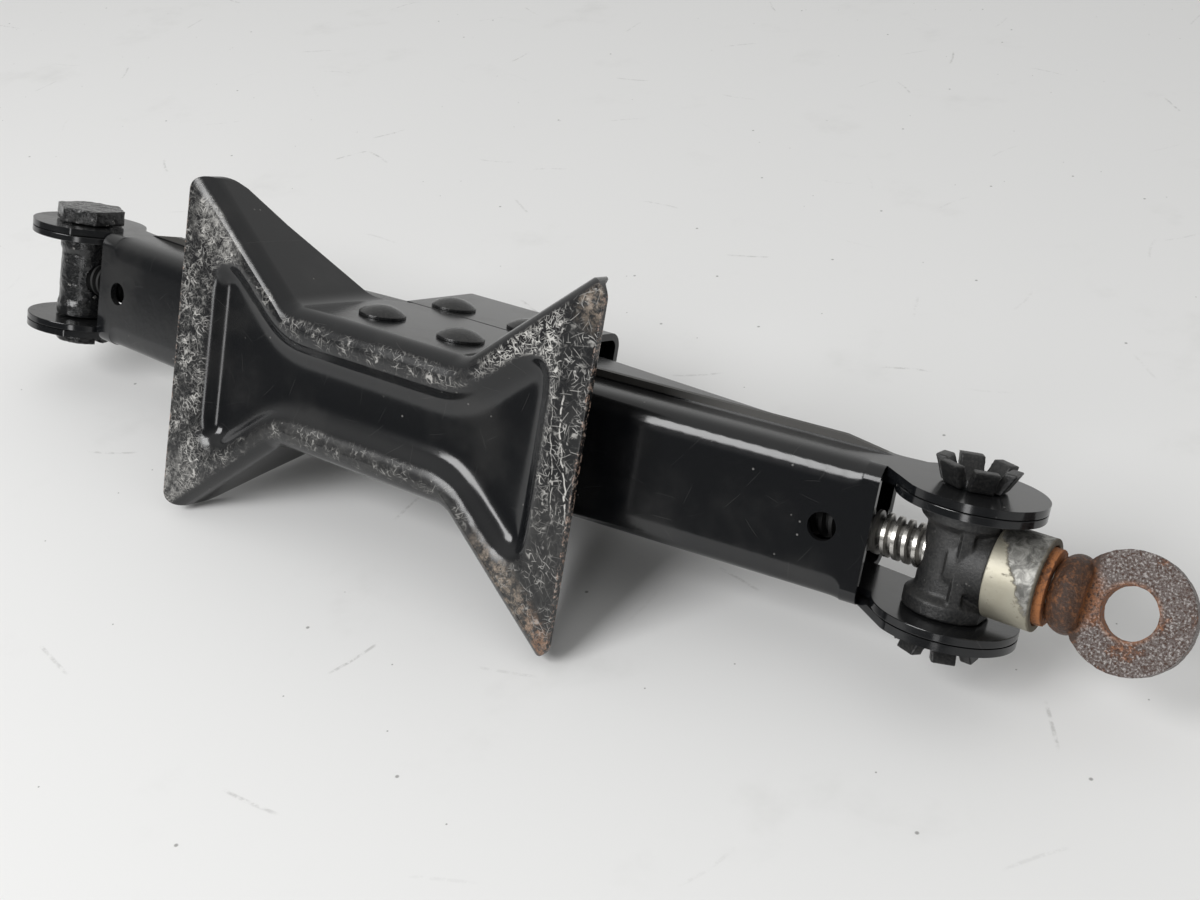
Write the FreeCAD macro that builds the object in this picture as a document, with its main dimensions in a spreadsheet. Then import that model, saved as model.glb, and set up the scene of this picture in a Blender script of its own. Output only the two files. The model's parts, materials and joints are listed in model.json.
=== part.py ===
import FreeCAD, Part
import math
import os
import re

import Sketcher

# A screw-driven scissor jack, closed. +Z is the lift, +X points to the eye of the screw, and the
# origin is on the base's underside, midway between the base pivots. Millimetres and degrees.

SIZES = {
    # pressed base plate
    "base_length": 154.0,
    "base_offset": 1.8,
    "base_waist_width": 44.8,
    "base_waist_length": 66.0,
    "base_waist_radius": 9.0,
    "base_slope": 40.5,
    "base_sheet": 2.4,
    "base_bend": 6.6,
    "base_flange_height": 49.5,
    "base_flange_top": 46.0,
    "flange_knee_span": 112.0,
    "flange_knee_height": 22.5,
    "ear_flange_span": 134.0,
    "ear_flange_height": 15.0,
    "ear_round": 5.0,
    # recess pressed up into the base
    "rim_at_end": 13.0,
    "rim_at_waist": 10.2,
    "recess_waist_length": 68.0,
    "recess_slope": 40.0,
    "recess_radius": 22.0,
    "recess_tip": 6.2,
    "recess_depth": 5.5,
    "recess_draft": 35.0,
    "recess_shoulder_radius": 3.2,
    "recess_foot_radius": 3.5,
    # linkage
    "pivot_spacing": 30.4,
    "base_pivot_height": 22.5,
    "closed_rise": 18.0,
    "arm_length": 156.2,
    "arm_sheet": 2.2,
    "arm_bend": 4.5,
    "side_gap": 0.3,
    "running_gap": 0.05,
    "ear_radius": 19.8,
    "ear_lead": 40.0,
    "lower_web_drop": 7.5,
    "lower_edge_height": 12.0,
    "lower_heel": 14.0,
    "lower_tail": 40.0,
    "upper_web_drop": 20.0,
    "upper_edge_height": 7.0,
    "upper_web_gap": 30.0,
    "upper_heel": 52.0,
    "upper_tail": 22.0,
    "web_start": 18.0,
    "web_hole_diameter": 8.0,
    "right_web_gap": 22.6,
    "right_hole_back": 35.4,
    "left_web_gap": 19.6,
    "left_hole_back": 30.4,
    "lip_width": 2.3,
    "lip_start": 46.0,
    "lip_end_back": 38.2,
    "lip_run": 14.0,
    # gear sectors on the arm ends
    "tooth_count": 16,
    "tooth_addendum": 1.4,
    "tooth_dedendum": 1.9,
    "tooth_root_share": 0.58,
    "tooth_tip_share": 0.26,
    "lift_angle": 58.0,
    # saddle
    "saddle_length": 59.0,
    "saddle_bottom_length": 56.0,
    "saddle_seam_gap": 0.5,
    "saddle_rise": 33.5,
    "saddle_sheet": 2.4,
    "saddle_bend": 5.5,
    "sill_groove_width": 10.0,
    "sill_groove_depth": 5.0,
    # pivot rivets
    "rivet_diameter": 10.0,
    "rivet_head_diameter": 14.6,
    "rivet_head_rim": 0.9,
    "rivet_head_height": 3.4,
    "spacer_diameter": 15.0,
    # trunnions
    "barrel_diameter": 19.0,
    "shoulder_diameter": 23.6,
    "shoulder_length": 4.0,
    "journal_diameter": 13.0,
    "nut_head_width": 22.0,
    "nut_head_height": 5.6,
    "nut_stake_diameter": 19.0,
    "nut_stake_height": 4.5,
    "stake_slot_width": 3.0,
    "stake_slot_depth": 2.5,
    "petal_count": 6,
    "petal_width": 6.6,
    "petal_sheet": 3.4,
    "petal_front_height": 6.2,
    "petal_back_height": 6.2,
    "petal_flare": 3.0,
    "flash_width": 3.4,
    "flash_height": 1.4,
    "flash_turn": 65.0,
    # screw and its thrust stack
    "screw_diameter": 12.0,
    "screw_tail": 7.5,
    "thrust_boss_diameter": 21.0,
    "thrust_boss_reach": 10.5,
    "cup_diameter": 25.0,
    "cup_length": 13.0,
    "cup_wall": 1.8,
    "race_thickness": 5.0,
    "washer_diameter": 20.8,
    "washer_thickness": 8.4,
    "eye_groove": 0.7,
    "eye_neck_diameter": 16.0,
    "eye_boss_diameter": 21.4,
    "eye_boss_length": 8.2,
    "eye_ring_diameter": 32.0,
    "eye_hole_diameter": 13.6,
    "eye_ring_thickness": 7.6,
    "eye_root": 5.4,
    "eye_turn": -16.0,
}

doc = FreeCAD.newDocument("ScissorJack")
sheet = doc.addObject("Spreadsheet::Sheet", "Sizes")
for row, (alias, number) in enumerate(SIZES.items(), start=1):
    sheet.set("A%d" % row, alias.replace("_", " "))
    sheet.set("B%d" % row, str(number))
    sheet.setAlias("B%d" % row, alias)
doc.recompute()

# Half widths of the nested side walls, from the outside in.
BASE_OUT = "base_waist_width / 2"
BASE_IN = "(base_waist_width / 2 - base_sheet)"
LOWER_OUT = "(base_waist_width / 2 - base_sheet - side_gap)"
LOWER_IN = "(base_waist_width / 2 - base_sheet - side_gap - arm_sheet)"
UPPER_OUT = "(base_waist_width / 2 - base_sheet - 2 * side_gap - arm_sheet)"
UPPER_IN = "(base_waist_width / 2 - base_sheet - 2 * side_gap - 2 * arm_sheet)"
BARREL_HALF = "(base_waist_width / 2 - base_sheet - 3 * side_gap - 2 * arm_sheet)"
STAKE_FACE = "(base_waist_width / 2 - base_sheet)"

# Places of the four pivots and the two trunnions.
PIVOT_X = "(pivot_spacing / 2)"
SADDLE_PIVOT_Z = "(base_pivot_height + 2 * closed_rise)"
SADDLE_TOP = "(base_pivot_height + 2 * closed_rise + saddle_rise)"
SADDLE_BOTTOM = "(base_flange_height + saddle_seam_gap)"
TRUNNION_X = "(pivot_spacing / 2 + sqrt(arm_length ^ 2 - closed_rise ^ 2))"
TRUNNION_Z = "(base_pivot_height + closed_rise)"
GEAR_ROOT = "(pivot_spacing / 2 - tooth_dedendum)"
GEAR_TIP = "(pivot_spacing / 2 + tooth_addendum)"
TOOTH_PITCH = "(pivot_spacing * pi / tooth_count)"

FULL_TURN = 360.0
HALF_TURN = 180.0


def bound(text):
    """The expression with each size name turned into a reference to its cell."""
    return re.sub(r"[a-z]+(?:_[a-z]+)+", lambda found: "Sizes." + found.group(0), str(text))


def value(text):
    """The number that an expression over the sheet has now."""
    return float(sheet.evalExpression(bound(text)))


def bind(thing, name, text):
    """Tie a property of an object to an expression over the sheet."""
    thing.setExpression(name, bound(text))


def origin_part(body, role):
    """A plane or an axis of the body's own origin."""
    return next(piece for piece in body.Origin.OriginFeatures if piece.Role == role)


def new_body(label):
    """An empty body whose label is the name of its piece."""
    body = doc.addObject("PartDesign::Body", label)
    body.Label = label
    return body


def new_sketch(body, name, plane, offset="0", turn="0"):
    """A sketch on a plane of the body's origin, moved along and turned about its normal."""
    sketch = body.newObject("Sketcher::SketchObject", name)
    sketch.AttachmentSupport = [(origin_part(body, plane), "")]
    sketch.MapMode = "FlatFace"
    lift = FreeCAD.Vector(0, 0, value(offset))
    spin = FreeCAD.Rotation(FreeCAD.Vector(0, 0, 1), value(turn))
    sketch.AttachmentOffset = FreeCAD.Placement(lift, spin)
    if offset != "0":
        bind(sketch, "AttachmentOffset.Base.z", offset)
    return sketch


def hold(sketch, kind, axis, geometry, end, text):
    """Fix one coordinate of a sketch point to an expression."""
    if text == "0":
        sketch.addConstraint(Sketcher.Constraint("PointOnObject", geometry, end, axis))
        return
    rule = sketch.addConstraint(Sketcher.Constraint(kind, -1, 1, geometry, end, value(text)))
    bind(sketch, "Constraints[%d]" % rule, text)


def add_loop(sketch, corners, arcs=None):
    """A closed outline through corners given as expressions.

    arcs maps the number of an edge to the centre, radius and sense of its arc,
    where the sense is 1 for counterclockwise and -1 for clockwise.
    """
    arcs = arcs or {}
    points = [FreeCAD.Vector(value(across), value(up), 0) for across, up in corners]
    count = len(points)
    starts = []
    ends = []
    for number in range(count):
        first = points[number]
        second = points[(number + 1) % count]
        if number not in arcs:
            starts.append((sketch.addGeometry(Part.LineSegment(first, second), False), 1))
            ends.append((starts[-1][0], 2))
            continue
        across, up, radius, sense = arcs[number]
        centre = FreeCAD.Vector(value(across), value(up), 0)
        circle = Part.Circle(centre, FreeCAD.Vector(0, 0, 1), value(radius))
        if sense < 0:
            first, second = second, first
        sweep = [math.atan2(point.y - centre.y, point.x - centre.x) for point in (first, second)]
        if sweep[1] <= sweep[0]:
            sweep[1] += 2 * math.pi
        arc = sketch.addGeometry(Part.ArcOfCircle(circle, *sweep), False)
        starts.append((arc, 1 if sense > 0 else 2))
        ends.append((arc, 2 if sense > 0 else 1))
    for number in range(count):
        joined = Sketcher.Constraint("Coincident", *ends[number], *starts[(number + 1) % count])
        sketch.addConstraint(joined)
    for number, (across, up) in enumerate(corners):
        hold(sketch, "DistanceX", -2, *starts[number], across)
        hold(sketch, "DistanceY", -1, *starts[number], up)
    for number, (across, up, radius, sense) in arcs.items():
        rule = sketch.addConstraint(Sketcher.Constraint("Radius", starts[number][0], value(radius)))
        bind(sketch, "Constraints[%d]" % rule, radius)


def add_circle(sketch, across, up, radius):
    """A circle whose centre and radius are expressions."""
    centre = FreeCAD.Vector(value(across), value(up), 0)
    circle = Part.Circle(centre, FreeCAD.Vector(0, 0, 1), value(radius))
    ring = sketch.addGeometry(circle, False)
    hold(sketch, "DistanceX", -2, ring, 3, across)
    hold(sketch, "DistanceY", -1, ring, 3, up)
    rule = sketch.addConstraint(Sketcher.Constraint("Radius", ring, value(radius)))
    bind(sketch, "Constraints[%d]" % rule, radius)


def grow(body, kind, name, sketch, length, symmetric=False, reverse=False, draft=None):
    """A pad or a pocket of a sketch, with its length tied to the sheet."""
    feature = body.newObject("PartDesign::" + kind, name)
    feature.Profile = sketch
    feature.SideType = "Symmetric" if symmetric else "One side"
    feature.Reversed = reverse
    bind(feature, "Length", length)
    if draft:
        bind(feature, "TaperAngle", draft)
    sketch.Visibility = False
    return feature


def revolve(body, name, sketch, axis):
    """A full turn of a half outline about an axis of the body's origin."""
    feature = body.newObject("PartDesign::Revolution", name)
    feature.Profile = sketch
    feature.ReferenceAxis = (origin_part(body, axis), [""])
    feature.Angle = FULL_TURN
    return feature


def pattern(body, name, feature, axis, count, angle):
    """Copies of a feature about an axis of the body's origin; angle runs from first to last."""
    turned = body.newObject("PartDesign::PolarPattern", name)
    turned.Originals = [feature]
    turned.Axis = (origin_part(body, axis), [""])
    turned.Angle = angle
    turned.Occurrences = count
    body.Tip = turned
    return turned


def round_edges(body, name, radius, wanted):
    """A fillet on the edges of the body that a test picks out."""
    doc.recompute()
    base = body.Tip
    names = ["Edge%d" % (number + 1) for number, edge in enumerate(base.Shape.Edges) if wanted(edge)]
    feature = body.newObject("PartDesign::Fillet", name)
    feature.Base = (base, names)
    bind(feature, "Radius", radius)
    return feature


def place(thing, across, depth, up, rotation=None):
    """Put a piece at a point given as expressions, turned by a rotation."""
    spot = FreeCAD.Vector(value(across), value(depth), value(up))
    thing.Placement = FreeCAD.Placement(spot, rotation or FreeCAD.Rotation())
    for name, text in (("x", across), ("y", depth), ("z", up)):
        if text != "0":
            bind(thing, "Placement.Base." + name, text)


def hourglass(length, waist, straight, slope, radius, tip=None):
    """Corners and arcs of an outline with a narrow waist and four ears.

    length and waist are half sizes, straight is the half length of the waist up to where the
    slanted sides would meet it, slope is their angle, radius rounds that meeting and tip the ears.
    """
    middle = "(%s - %s * tan(%s / 2))" % (straight, radius, slope)
    slant_x = "(%s + %s * sin(%s))" % (middle, radius, slope)
    slant_y = "(%s + %s - %s * cos(%s))" % (waist, radius, radius, slope)
    centre_y = "(%s + %s)" % (waist, radius)
    ears = [(length, "(%s + (%s - %s) * tan(%s))" % (waist, length, straight, slope))]
    if tip:
        ears = ear_tip(length, waist, straight, slope, tip)
    quarter = ears + [(slant_x, slant_y), (middle, waist)]
    count = len(quarter)
    corners = []
    arcs = {}
    for turn, (across, up) in enumerate((("", ""), ("-", ""), ("-", "-"), ("", "-"))):
        backward = turn % 2
        for corner in quarter[::-1] if backward else quarter:
            corners.append(signed(across, up, corner))
        waist_edge = turn * count + (0 if backward else count - 2)
        arcs[waist_edge] = (*signed(across, up, (middle, centre_y)), radius, -1)
        if tip:
            tip_edge = turn * count + (count - 2 if backward else 0)
            centre = ("%s - %s" % (length, tip), ears[0][1])
            arcs[tip_edge] = (*signed(across, up, centre), tip, 1)
    return corners, arcs


def signed(across, up, corner):
    """A point given as expressions, mirrored by the signs."""
    return "%s(%s)" % (across, corner[0]), "%s(%s)" % (up, corner[1])


def ear_tip(length, waist, straight, slope, tip):
    """The two points where an arc touches an outline's end and its slanted side."""
    peak = "(%s + (%s - %s) * tan(%s))" % (waist, length, straight, slope)
    tangent = "(%s / tan((90 - %s) / 2))" % (tip, slope)
    side_x = "(%s - %s * cos(%s))" % (length, tangent, slope)
    side_y = "(%s - %s * sin(%s))" % (peak, tangent, slope)
    return [(length, "(%s - %s)" % (peak, tangent)), (side_x, side_y)]


def make_base():
    """The pressed base: an hourglass floor, a recess pressed up into it and two side flanges."""
    body = new_body("base_plate")
    straight = "(base_waist_length / 2)"
    outline = new_sketch(body, "base_outline", "XY_Plane")
    add_loop(outline, *hourglass("base_length", BASE_OUT, straight, "base_slope", "base_waist_radius"))
    grow(body, "Pad", "base_block", outline, "base_flange_height")

    inner_straight = "(%s + base_sheet * tan(base_slope / 2))" % straight
    inner_radius = "(base_waist_radius + base_sheet)"
    inside = new_sketch(body, "base_inside", "XY_Plane", "base_sheet")
    add_loop(inside, *hourglass("2 * base_length", BASE_IN, inner_straight, "base_slope", inner_radius))
    grow(body, "Pocket", "base_hollow", inside, "base_flange_height", reverse=True)

    round_edges(body, "floor_bend_out", "base_bend", along_flange(0.0))
    round_edges(body, "floor_bend_in", "base_bend - base_sheet", along_flange(value("base_sheet")))

    slopes = new_sketch(body, "flange_slopes", "XZ_Plane")
    for sign in ("", "-"):
        corners = [
            (sign + "2 * base_length", "base_sheet"),
            (sign + "base_length / 2", "base_sheet"),
            (sign + "ear_flange_span / 2", "ear_flange_height"),
            (sign + "flange_knee_span / 2", "flange_knee_height"),
            (sign + "base_flange_top / 2", "base_flange_height"),
            (sign + "base_flange_top / 2", "2 * base_flange_height"),
            (sign + "2 * base_length", "2 * base_flange_height"),
        ]
        add_loop(slopes, corners)
    grow(body, "Pocket", "flange_cut", slopes, "4 * base_length", symmetric=True)
    trim_ends(body, straight)

    holes = new_sketch(body, "base_rivet_holes", "XZ_Plane")
    for sign in ("", "-"):
        across = "(base_offset + %s%s)" % (sign, PIVOT_X)
        add_circle(holes, across, "base_pivot_height", "rivet_diameter / 2 + running_gap")
    grow(body, "Pocket", "base_rivet_bores", holes, "base_length", symmetric=True)

    inside_sheet = "base_sheet / 2"
    spread = "(base_sheet / cos(recess_draft) - %s * tan(recess_draft))" % inside_sheet
    add_recess(body, "recess_top", "Pad", inside_sheet, spread, "recess_depth + " + inside_sheet)
    add_recess(body, "recess", "Pocket", "0", "0", "recess_depth")
    rim = flat_face(body, "0")
    round_edges(body, "recess_shoulder", "recess_shoulder_radius", among(rim.Wires[1:]))
    floor = flat_face(body, "recess_depth")
    round_edges(body, "recess_foot", "recess_foot_radius", among(floor.Wires))
    place(body, "-base_offset", "0", "0")
    return body


def along_flange(height):
    """A test for the long edges at one height where the base's floor turns up into a flange."""
    nearest = value(BASE_IN) - value("base_sheet")
    end = value("base_length")

    def wanted(edge):
        box = edge.BoundBox
        level = max(abs(box.ZMin - height), abs(box.ZMax - height)) < value("side_gap") / 2
        one_side = box.YMin * box.YMax > 0 and min(abs(box.YMin), abs(box.YMax)) > nearest
        across_end = box.XLength < value("side_gap") and abs(abs(box.XMin) - end) < value("side_gap")
        return level and one_side and not across_end

    return wanted


def trim_ends(body, straight):
    """Cut the base to its length, with its four ear tips rounded."""
    half = "base_length / 2"
    end, side = ear_tip(half, BASE_OUT, straight, "base_slope", "ear_round")
    trim = new_sketch(body, "end_trim", "XY_Plane")
    far = "2 * base_length"
    for across, sense in (("", 1), ("-", -1)):
        upper = [end, side, (side[0], far), (far, far)]
        lower = [signed("", "-", corner) for corner in upper[::-1]]
        corners = [signed(across, "", corner) for corner in upper + lower]
        arcs = {}
        for number, up in ((0, ""), (len(corners) - 2, "-")):
            centre = signed(across, up, ("%s - ear_round" % half, end[1]))
            arcs[number] = (*centre, "ear_round", sense)
        add_loop(trim, corners, arcs)
    grow(body, "Pocket", "ends", trim, "4 * base_flange_height", symmetric=True)


def flat_face(body, height):
    """The largest level face of the body at one height, its outer wire first."""
    doc.recompute()
    level = []
    for face in body.Tip.Shape.Faces:
        box = face.BoundBox
        if max(abs(box.ZMin - value(height)), abs(box.ZMax - value(height))) < value("running_gap"):
            level.append(face)
    return max(level, key=lambda face: face.Area)


def among(wires):
    """A test for the edges of some wires."""
    edges = [edge for wire in wires for edge in wire.Edges]
    return lambda edge: any(edge.isSame(other) for other in edges)


def add_recess(body, name, kind, start, spread, depth):
    """The recess of the base, grown or cut upward with drafted sides; spread widens its outline."""
    sketch = new_sketch(body, name + "_outline", "XY_Plane", start)
    half = "(base_length / 2 - rim_at_end + %s)" % spread
    waist = "(%s - rim_at_waist + %s)" % (BASE_OUT, spread)
    straight = "(recess_waist_length / 2 - %s * tan(recess_slope / 2))" % spread
    radius = "(recess_radius - %s)" % spread
    tip = "(recess_tip + %s)" % spread
    add_loop(sketch, *hourglass(half, waist, straight, "recess_slope", radius, tip))
    return grow(body, kind, name, sketch, depth, reverse=kind == "Pocket", draft="-recess_draft")


class ArmKind:
    """What differs between the arms, as expressions over the sheet."""

    def __init__(self, level, outer, inner, web_gap, hole_back=None):
        self.outer = outer
        self.inner = inner
        self.web = level + "_web_drop"
        self.edge = level + "_edge_height"
        self.heel = level + "_heel"
        self.tail = level + "_tail"
        self.web_end = "(arm_length - %s)" % web_gap
        self.hole_back = hole_back


LOWER_LEFT = ArmKind("lower", LOWER_OUT, LOWER_IN, "left_web_gap", "left_hole_back")
LOWER_RIGHT = ArmKind("lower", LOWER_OUT, LOWER_IN, "right_web_gap", "right_hole_back")
UPPER = ArmKind("upper", UPPER_OUT, UPPER_IN, "upper_web_gap")


def make_arm(label, kind, tooth_shift, rotation, across, up):
    """A channel arm in its own frame: pivot at the origin, trunnion along +X, web towards -Z."""
    body = new_body(label)
    bend_line = "-(%s - arm_bend)" % kind.web
    outline = new_sketch(body, label + "_outline", "XZ_Plane")
    corners = [
        ("%s * cos(%s)" % (GEAR_ROOT, kind.heel), "-%s * sin(%s)" % (GEAR_ROOT, kind.heel)),
        ("web_start", bend_line),
        (kind.web_end, bend_line),
        ("arm_length - ear_radius * sin(ear_lead)", "-ear_radius * cos(ear_lead)"),
        ("arm_length - ear_radius * cos(%s)" % kind.tail, "ear_radius * sin(%s)" % kind.tail),
        ("arm_length - ear_radius - arm_sheet", kind.edge),
        ("%s / 2 + arm_sheet" % GEAR_ROOT, kind.edge),
        ("%s / 2" % GEAR_ROOT, "%s * sqrt(3) / 2" % GEAR_ROOT),
    ]
    arcs = {3: ("arm_length", "0", "ear_radius", 1), 7: ("0", "0", GEAR_ROOT, 1)}
    add_loop(outline, corners, arcs)
    grow(body, "Pad", label + "_walls", outline, "2 * " + kind.outer, symmetric=True)
    add_teeth(body, label, kind, tooth_shift)

    between = new_sketch(body, label + "_between", "XZ_Plane")
    reach = "arm_length"
    corners = [("-" + reach, "-" + reach), ("2 * " + reach, "-" + reach)]
    corners += [("2 * " + reach, reach), ("-" + reach, reach)]
    add_loop(between, corners)
    grow(body, "Pocket", label + "_channel", between, "2 * " + kind.inner, symmetric=True)

    web_length = "%s - web_start" % kind.web_end
    section = new_sketch(body, label + "_section", "YZ_Plane", "web_start")
    add_loop(section, *channel_section(kind.outer, "arm_sheet", "arm_bend", bend_line, "-" + kind.web))
    grow(body, "Pad", label + "_web", section, web_length)

    if kind.hole_back:
        lip = new_sketch(body, label + "_lip_plan", "XY_Plane", kind.edge + " - arm_sheet")
        for sign in ("", "-"):
            far = sign + "(%s + lip_width)" % kind.outer
            near = sign + kind.outer
            plan = [("lip_start - lip_run", near), ("lip_start", far)]
            plan += [("arm_length - lip_end_back", far), ("arm_length - lip_end_back + lip_run", near)]
            add_loop(lip, plan)
        grow(body, "Pad", label + "_lips", lip, "arm_sheet")
        hole = new_sketch(body, label + "_web_hole", "XY_Plane")
        add_circle(hole, "arm_length - " + kind.hole_back, "0", "web_hole_diameter / 2")
        grow(body, "Pocket", label + "_web_bore", hole, "4 * " + kind.web, symmetric=True)

    bores = new_sketch(body, label + "_pin_holes", "XZ_Plane")
    add_circle(bores, "0", "0", "rivet_diameter / 2 + running_gap")
    add_circle(bores, "arm_length", "0", "journal_diameter / 2 + running_gap")
    grow(body, "Pocket", label + "_pin_bores", bores, "4 * " + kind.outer, symmetric=True)
    place(body, across, "0", up, rotation)
    return body


def channel_section(outer, wall, bend, lip, web):
    """Corners and arcs of a channel's floor with its two bends, open upward, as far as lip."""
    turn_y = "(%s - %s)" % (outer, bend)
    inner = "(%s - %s)" % (outer, wall)
    floor_in = "(%s + %s)" % (web, wall)
    tight = "(%s - %s)" % (bend, wall)
    corners = [
        ("-" + outer, lip),
        ("-" + turn_y, web),
        (turn_y, web),
        (outer, lip),
        (inner, lip),
        (turn_y, floor_in),
        ("-" + turn_y, floor_in),
        ("-" + inner, lip),
    ]
    arcs = {
        0: ("-" + turn_y, lip, bend, 1),
        2: (turn_y, lip, bend, 1),
        4: (turn_y, lip, tight, -1),
        6: ("-" + turn_y, lip, tight, -1),
    }
    return corners, arcs


def add_teeth(body, label, kind, tooth_shift):
    """Gear teeth over the part of the arm's round end that meets the other arm during the lift."""
    pitch_angle = FULL_TURN / value("tooth_count")
    facing = HALF_TURN - closed_angle()
    first = facing + tooth_shift * pitch_angle
    count = math.ceil(value("lift_angle") / pitch_angle) + 2
    tooth = new_sketch(body, label + "_tooth", "XZ_Plane", turn=str(first))
    foot = "%s - tooth_addendum" % GEAR_ROOT
    root_half = "(tooth_root_share * %s / 2)" % TOOTH_PITCH
    tip_half = "(tooth_tip_share * %s / 2)" % TOOTH_PITCH
    corners = [(foot, "-" + root_half), (GEAR_TIP, "-" + tip_half), (GEAR_TIP, tip_half), (foot, root_half)]
    add_loop(tooth, corners)
    pad = grow(body, "Pad", label + "_first_tooth", tooth, "2 * " + kind.outer, symmetric=True)
    pattern(body, label + "_teeth", pad, "Y_Axis", count, (count - 1) * pitch_angle)


def closed_angle():
    """The angle of the arms above the level when the jack is closed."""
    return math.degrees(math.asin(value("closed_rise / arm_length")))


def make_arms():
    """The four arms, tilted to the closed pose; the left ones are turned half round."""
    tilt = closed_angle()
    level = FreeCAD.Vector(0, 1, 0)
    half_round = FreeCAD.Rotation(FreeCAD.Vector(0, 0, 1), HALF_TURN)
    upside_down = FreeCAD.Rotation(FreeCAD.Vector(1, 0, 0), HALF_TURN)
    up_right = FreeCAD.Rotation(level, -tilt)
    up_left = FreeCAD.Rotation(level, tilt)
    left_x = "-" + PIVOT_X
    make_arm("lower_arm_left", LOWER_LEFT, 1.0, up_left * half_round, left_x, "base_pivot_height")
    make_arm("lower_arm_right", LOWER_RIGHT, 0.5, up_right, PIVOT_X, "base_pivot_height")
    turned = up_right * half_round * upside_down
    make_arm("upper_arm_left", UPPER, 1.0, turned, left_x, SADDLE_PIVOT_Z)
    make_arm("upper_arm_right", UPPER, 0.5, up_left * upside_down, PIVOT_X, SADDLE_PIVOT_Z)


def make_saddle():
    """The top bracket: a channel upside down, wider at the top, with a groove for a sill's seam."""
    body = new_body("saddle")
    section = new_sketch(body, "saddle_section", "YZ_Plane")
    turn_y = "(%s - saddle_bend)" % BASE_OUT
    turn_z = "(%s - saddle_bend)" % SADDLE_TOP
    under = "(%s - saddle_sheet)" % SADDLE_TOP
    inner = "(%s - saddle_sheet)" % BASE_OUT
    tight = "(saddle_bend - saddle_sheet)"
    corners = [
        (BASE_OUT, SADDLE_BOTTOM),
        (BASE_OUT, turn_z),
        (turn_y, SADDLE_TOP),
        ("-" + turn_y, SADDLE_TOP),
        ("-" + BASE_OUT, turn_z),
        ("-" + BASE_OUT, SADDLE_BOTTOM),
        ("-" + inner, SADDLE_BOTTOM),
        ("-" + inner, turn_z),
        ("-" + turn_y, under),
        (turn_y, under),
        (inner, turn_z),
        (inner, SADDLE_BOTTOM),
    ]
    arcs = {
        1: (turn_y, turn_z, "saddle_bend", 1),
        3: ("-" + turn_y, turn_z, "saddle_bend", 1),
        7: ("-" + turn_y, turn_z, tight, -1),
        9: (turn_y, turn_z, tight, -1),
    }
    add_loop(section, corners, arcs)
    grow(body, "Pad", "saddle_channel", section, "saddle_length", symmetric=True)

    sides = new_sketch(body, "saddle_sides", "XZ_Plane")
    for sign in ("", "-"):
        corners = [
            (sign + "saddle_bottom_length / 2", SADDLE_BOTTOM),
            (sign + "saddle_length / 2", turn_z),
            (sign + "saddle_length", turn_z),
            (sign + "saddle_length", SADDLE_BOTTOM),
        ]
        add_loop(sides, corners)
    grow(body, "Pocket", "saddle_taper", sides, "2 * base_waist_width", symmetric=True)

    bed_half = "(sill_groove_width / 2 + saddle_sheet)"
    bed = new_sketch(body, "groove_bed_section", "XZ_Plane")
    floor = "(%s - sill_groove_depth)" % under
    add_box(bed, bed_half, floor, under)
    grow(body, "Pad", "groove_bed", bed, "2 * " + turn_y, symmetric=True)
    groove = new_sketch(body, "groove_section", "XZ_Plane")
    groove_floor = "(%s - sill_groove_depth)" % SADDLE_TOP
    add_box(groove, "sill_groove_width / 2", groove_floor, "2 * " + SADDLE_TOP)
    grow(body, "Pocket", "groove", groove, "2 * (%s - saddle_sheet)" % turn_y, symmetric=True)

    holes = new_sketch(body, "saddle_rivet_holes", "XZ_Plane")
    for sign in ("", "-"):
        add_circle(holes, sign + PIVOT_X, SADDLE_PIVOT_Z, "rivet_diameter / 2 + running_gap")
    grow(body, "Pocket", "saddle_rivet_bores", holes, "2 * base_waist_width", symmetric=True)
    return body


def add_box(sketch, half, low, high):
    """A rectangle about the vertical axis of a sketch."""
    add_loop(sketch, [("-" + half, low), (half, low), (half, high), ("-" + half, high)])


def make_rivet(label, across, up):
    """A pivot rivet through both flanges, with a low domed head at each end."""
    body = new_body(label)
    profile = new_sketch(body, label + "_profile", "XY_Plane")
    head = "rivet_head_diameter / 2"
    rim = "(%s + rivet_head_rim)" % BASE_OUT
    top = "(%s + rivet_head_height)" % BASE_OUT
    crown = "(rivet_head_height - rivet_head_rim)"
    dome = "(((%s) ^ 2 + %s ^ 2) / (2 * %s))" % (head, crown, crown)
    corners = [
        ("0", "-" + top),
        (head, "-" + rim),
        (head, "-" + BASE_OUT),
        ("rivet_diameter / 2", "-" + BASE_OUT),
        ("rivet_diameter / 2", BASE_OUT),
        (head, BASE_OUT),
        (head, rim),
        ("0", top),
    ]
    arcs = {
        0: ("0", "-(%s - %s)" % (top, dome), dome, 1),
        6: ("0", "(%s - %s)" % (top, dome), dome, 1),
    }
    add_loop(profile, corners, arcs)
    revolve(body, label + "_turned", profile, "Y_Axis")
    place(body, across, "0", up)
    return body


def make_spacer(label, across, inner_face):
    """A washer that fills the width between an upper arm and the saddle's flange."""
    body = new_body(label)
    ring = new_sketch(body, label + "_ring", "XZ_Plane", inner_face)
    add_circle(ring, "0", "0", "spacer_diameter / 2")
    add_circle(ring, "0", "0", "rivet_diameter / 2 + running_gap")
    grow(body, "Pad", label + "_washer", ring, "%s - %s - side_gap" % (BASE_IN, UPPER_OUT))
    place(body, across, "0", SADDLE_PIVOT_Z)
    return body


def make_pivots():
    """Rivets at the four pivots, and the washers that centre the saddle on the upper arms."""
    front = "(%s + side_gap)" % UPPER_OUT
    back = "-" + BASE_IN
    for side, across in (("left", "-" + PIVOT_X), ("right", PIVOT_X)):
        make_rivet("base_rivet_" + side, across, "base_pivot_height")
        make_rivet("saddle_rivet_" + side, across, SADDLE_PIVOT_Z)
        make_spacer("saddle_spacer_%s_front" % side, across, front)
        make_spacer("saddle_spacer_%s_back" % side, across, back)


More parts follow.
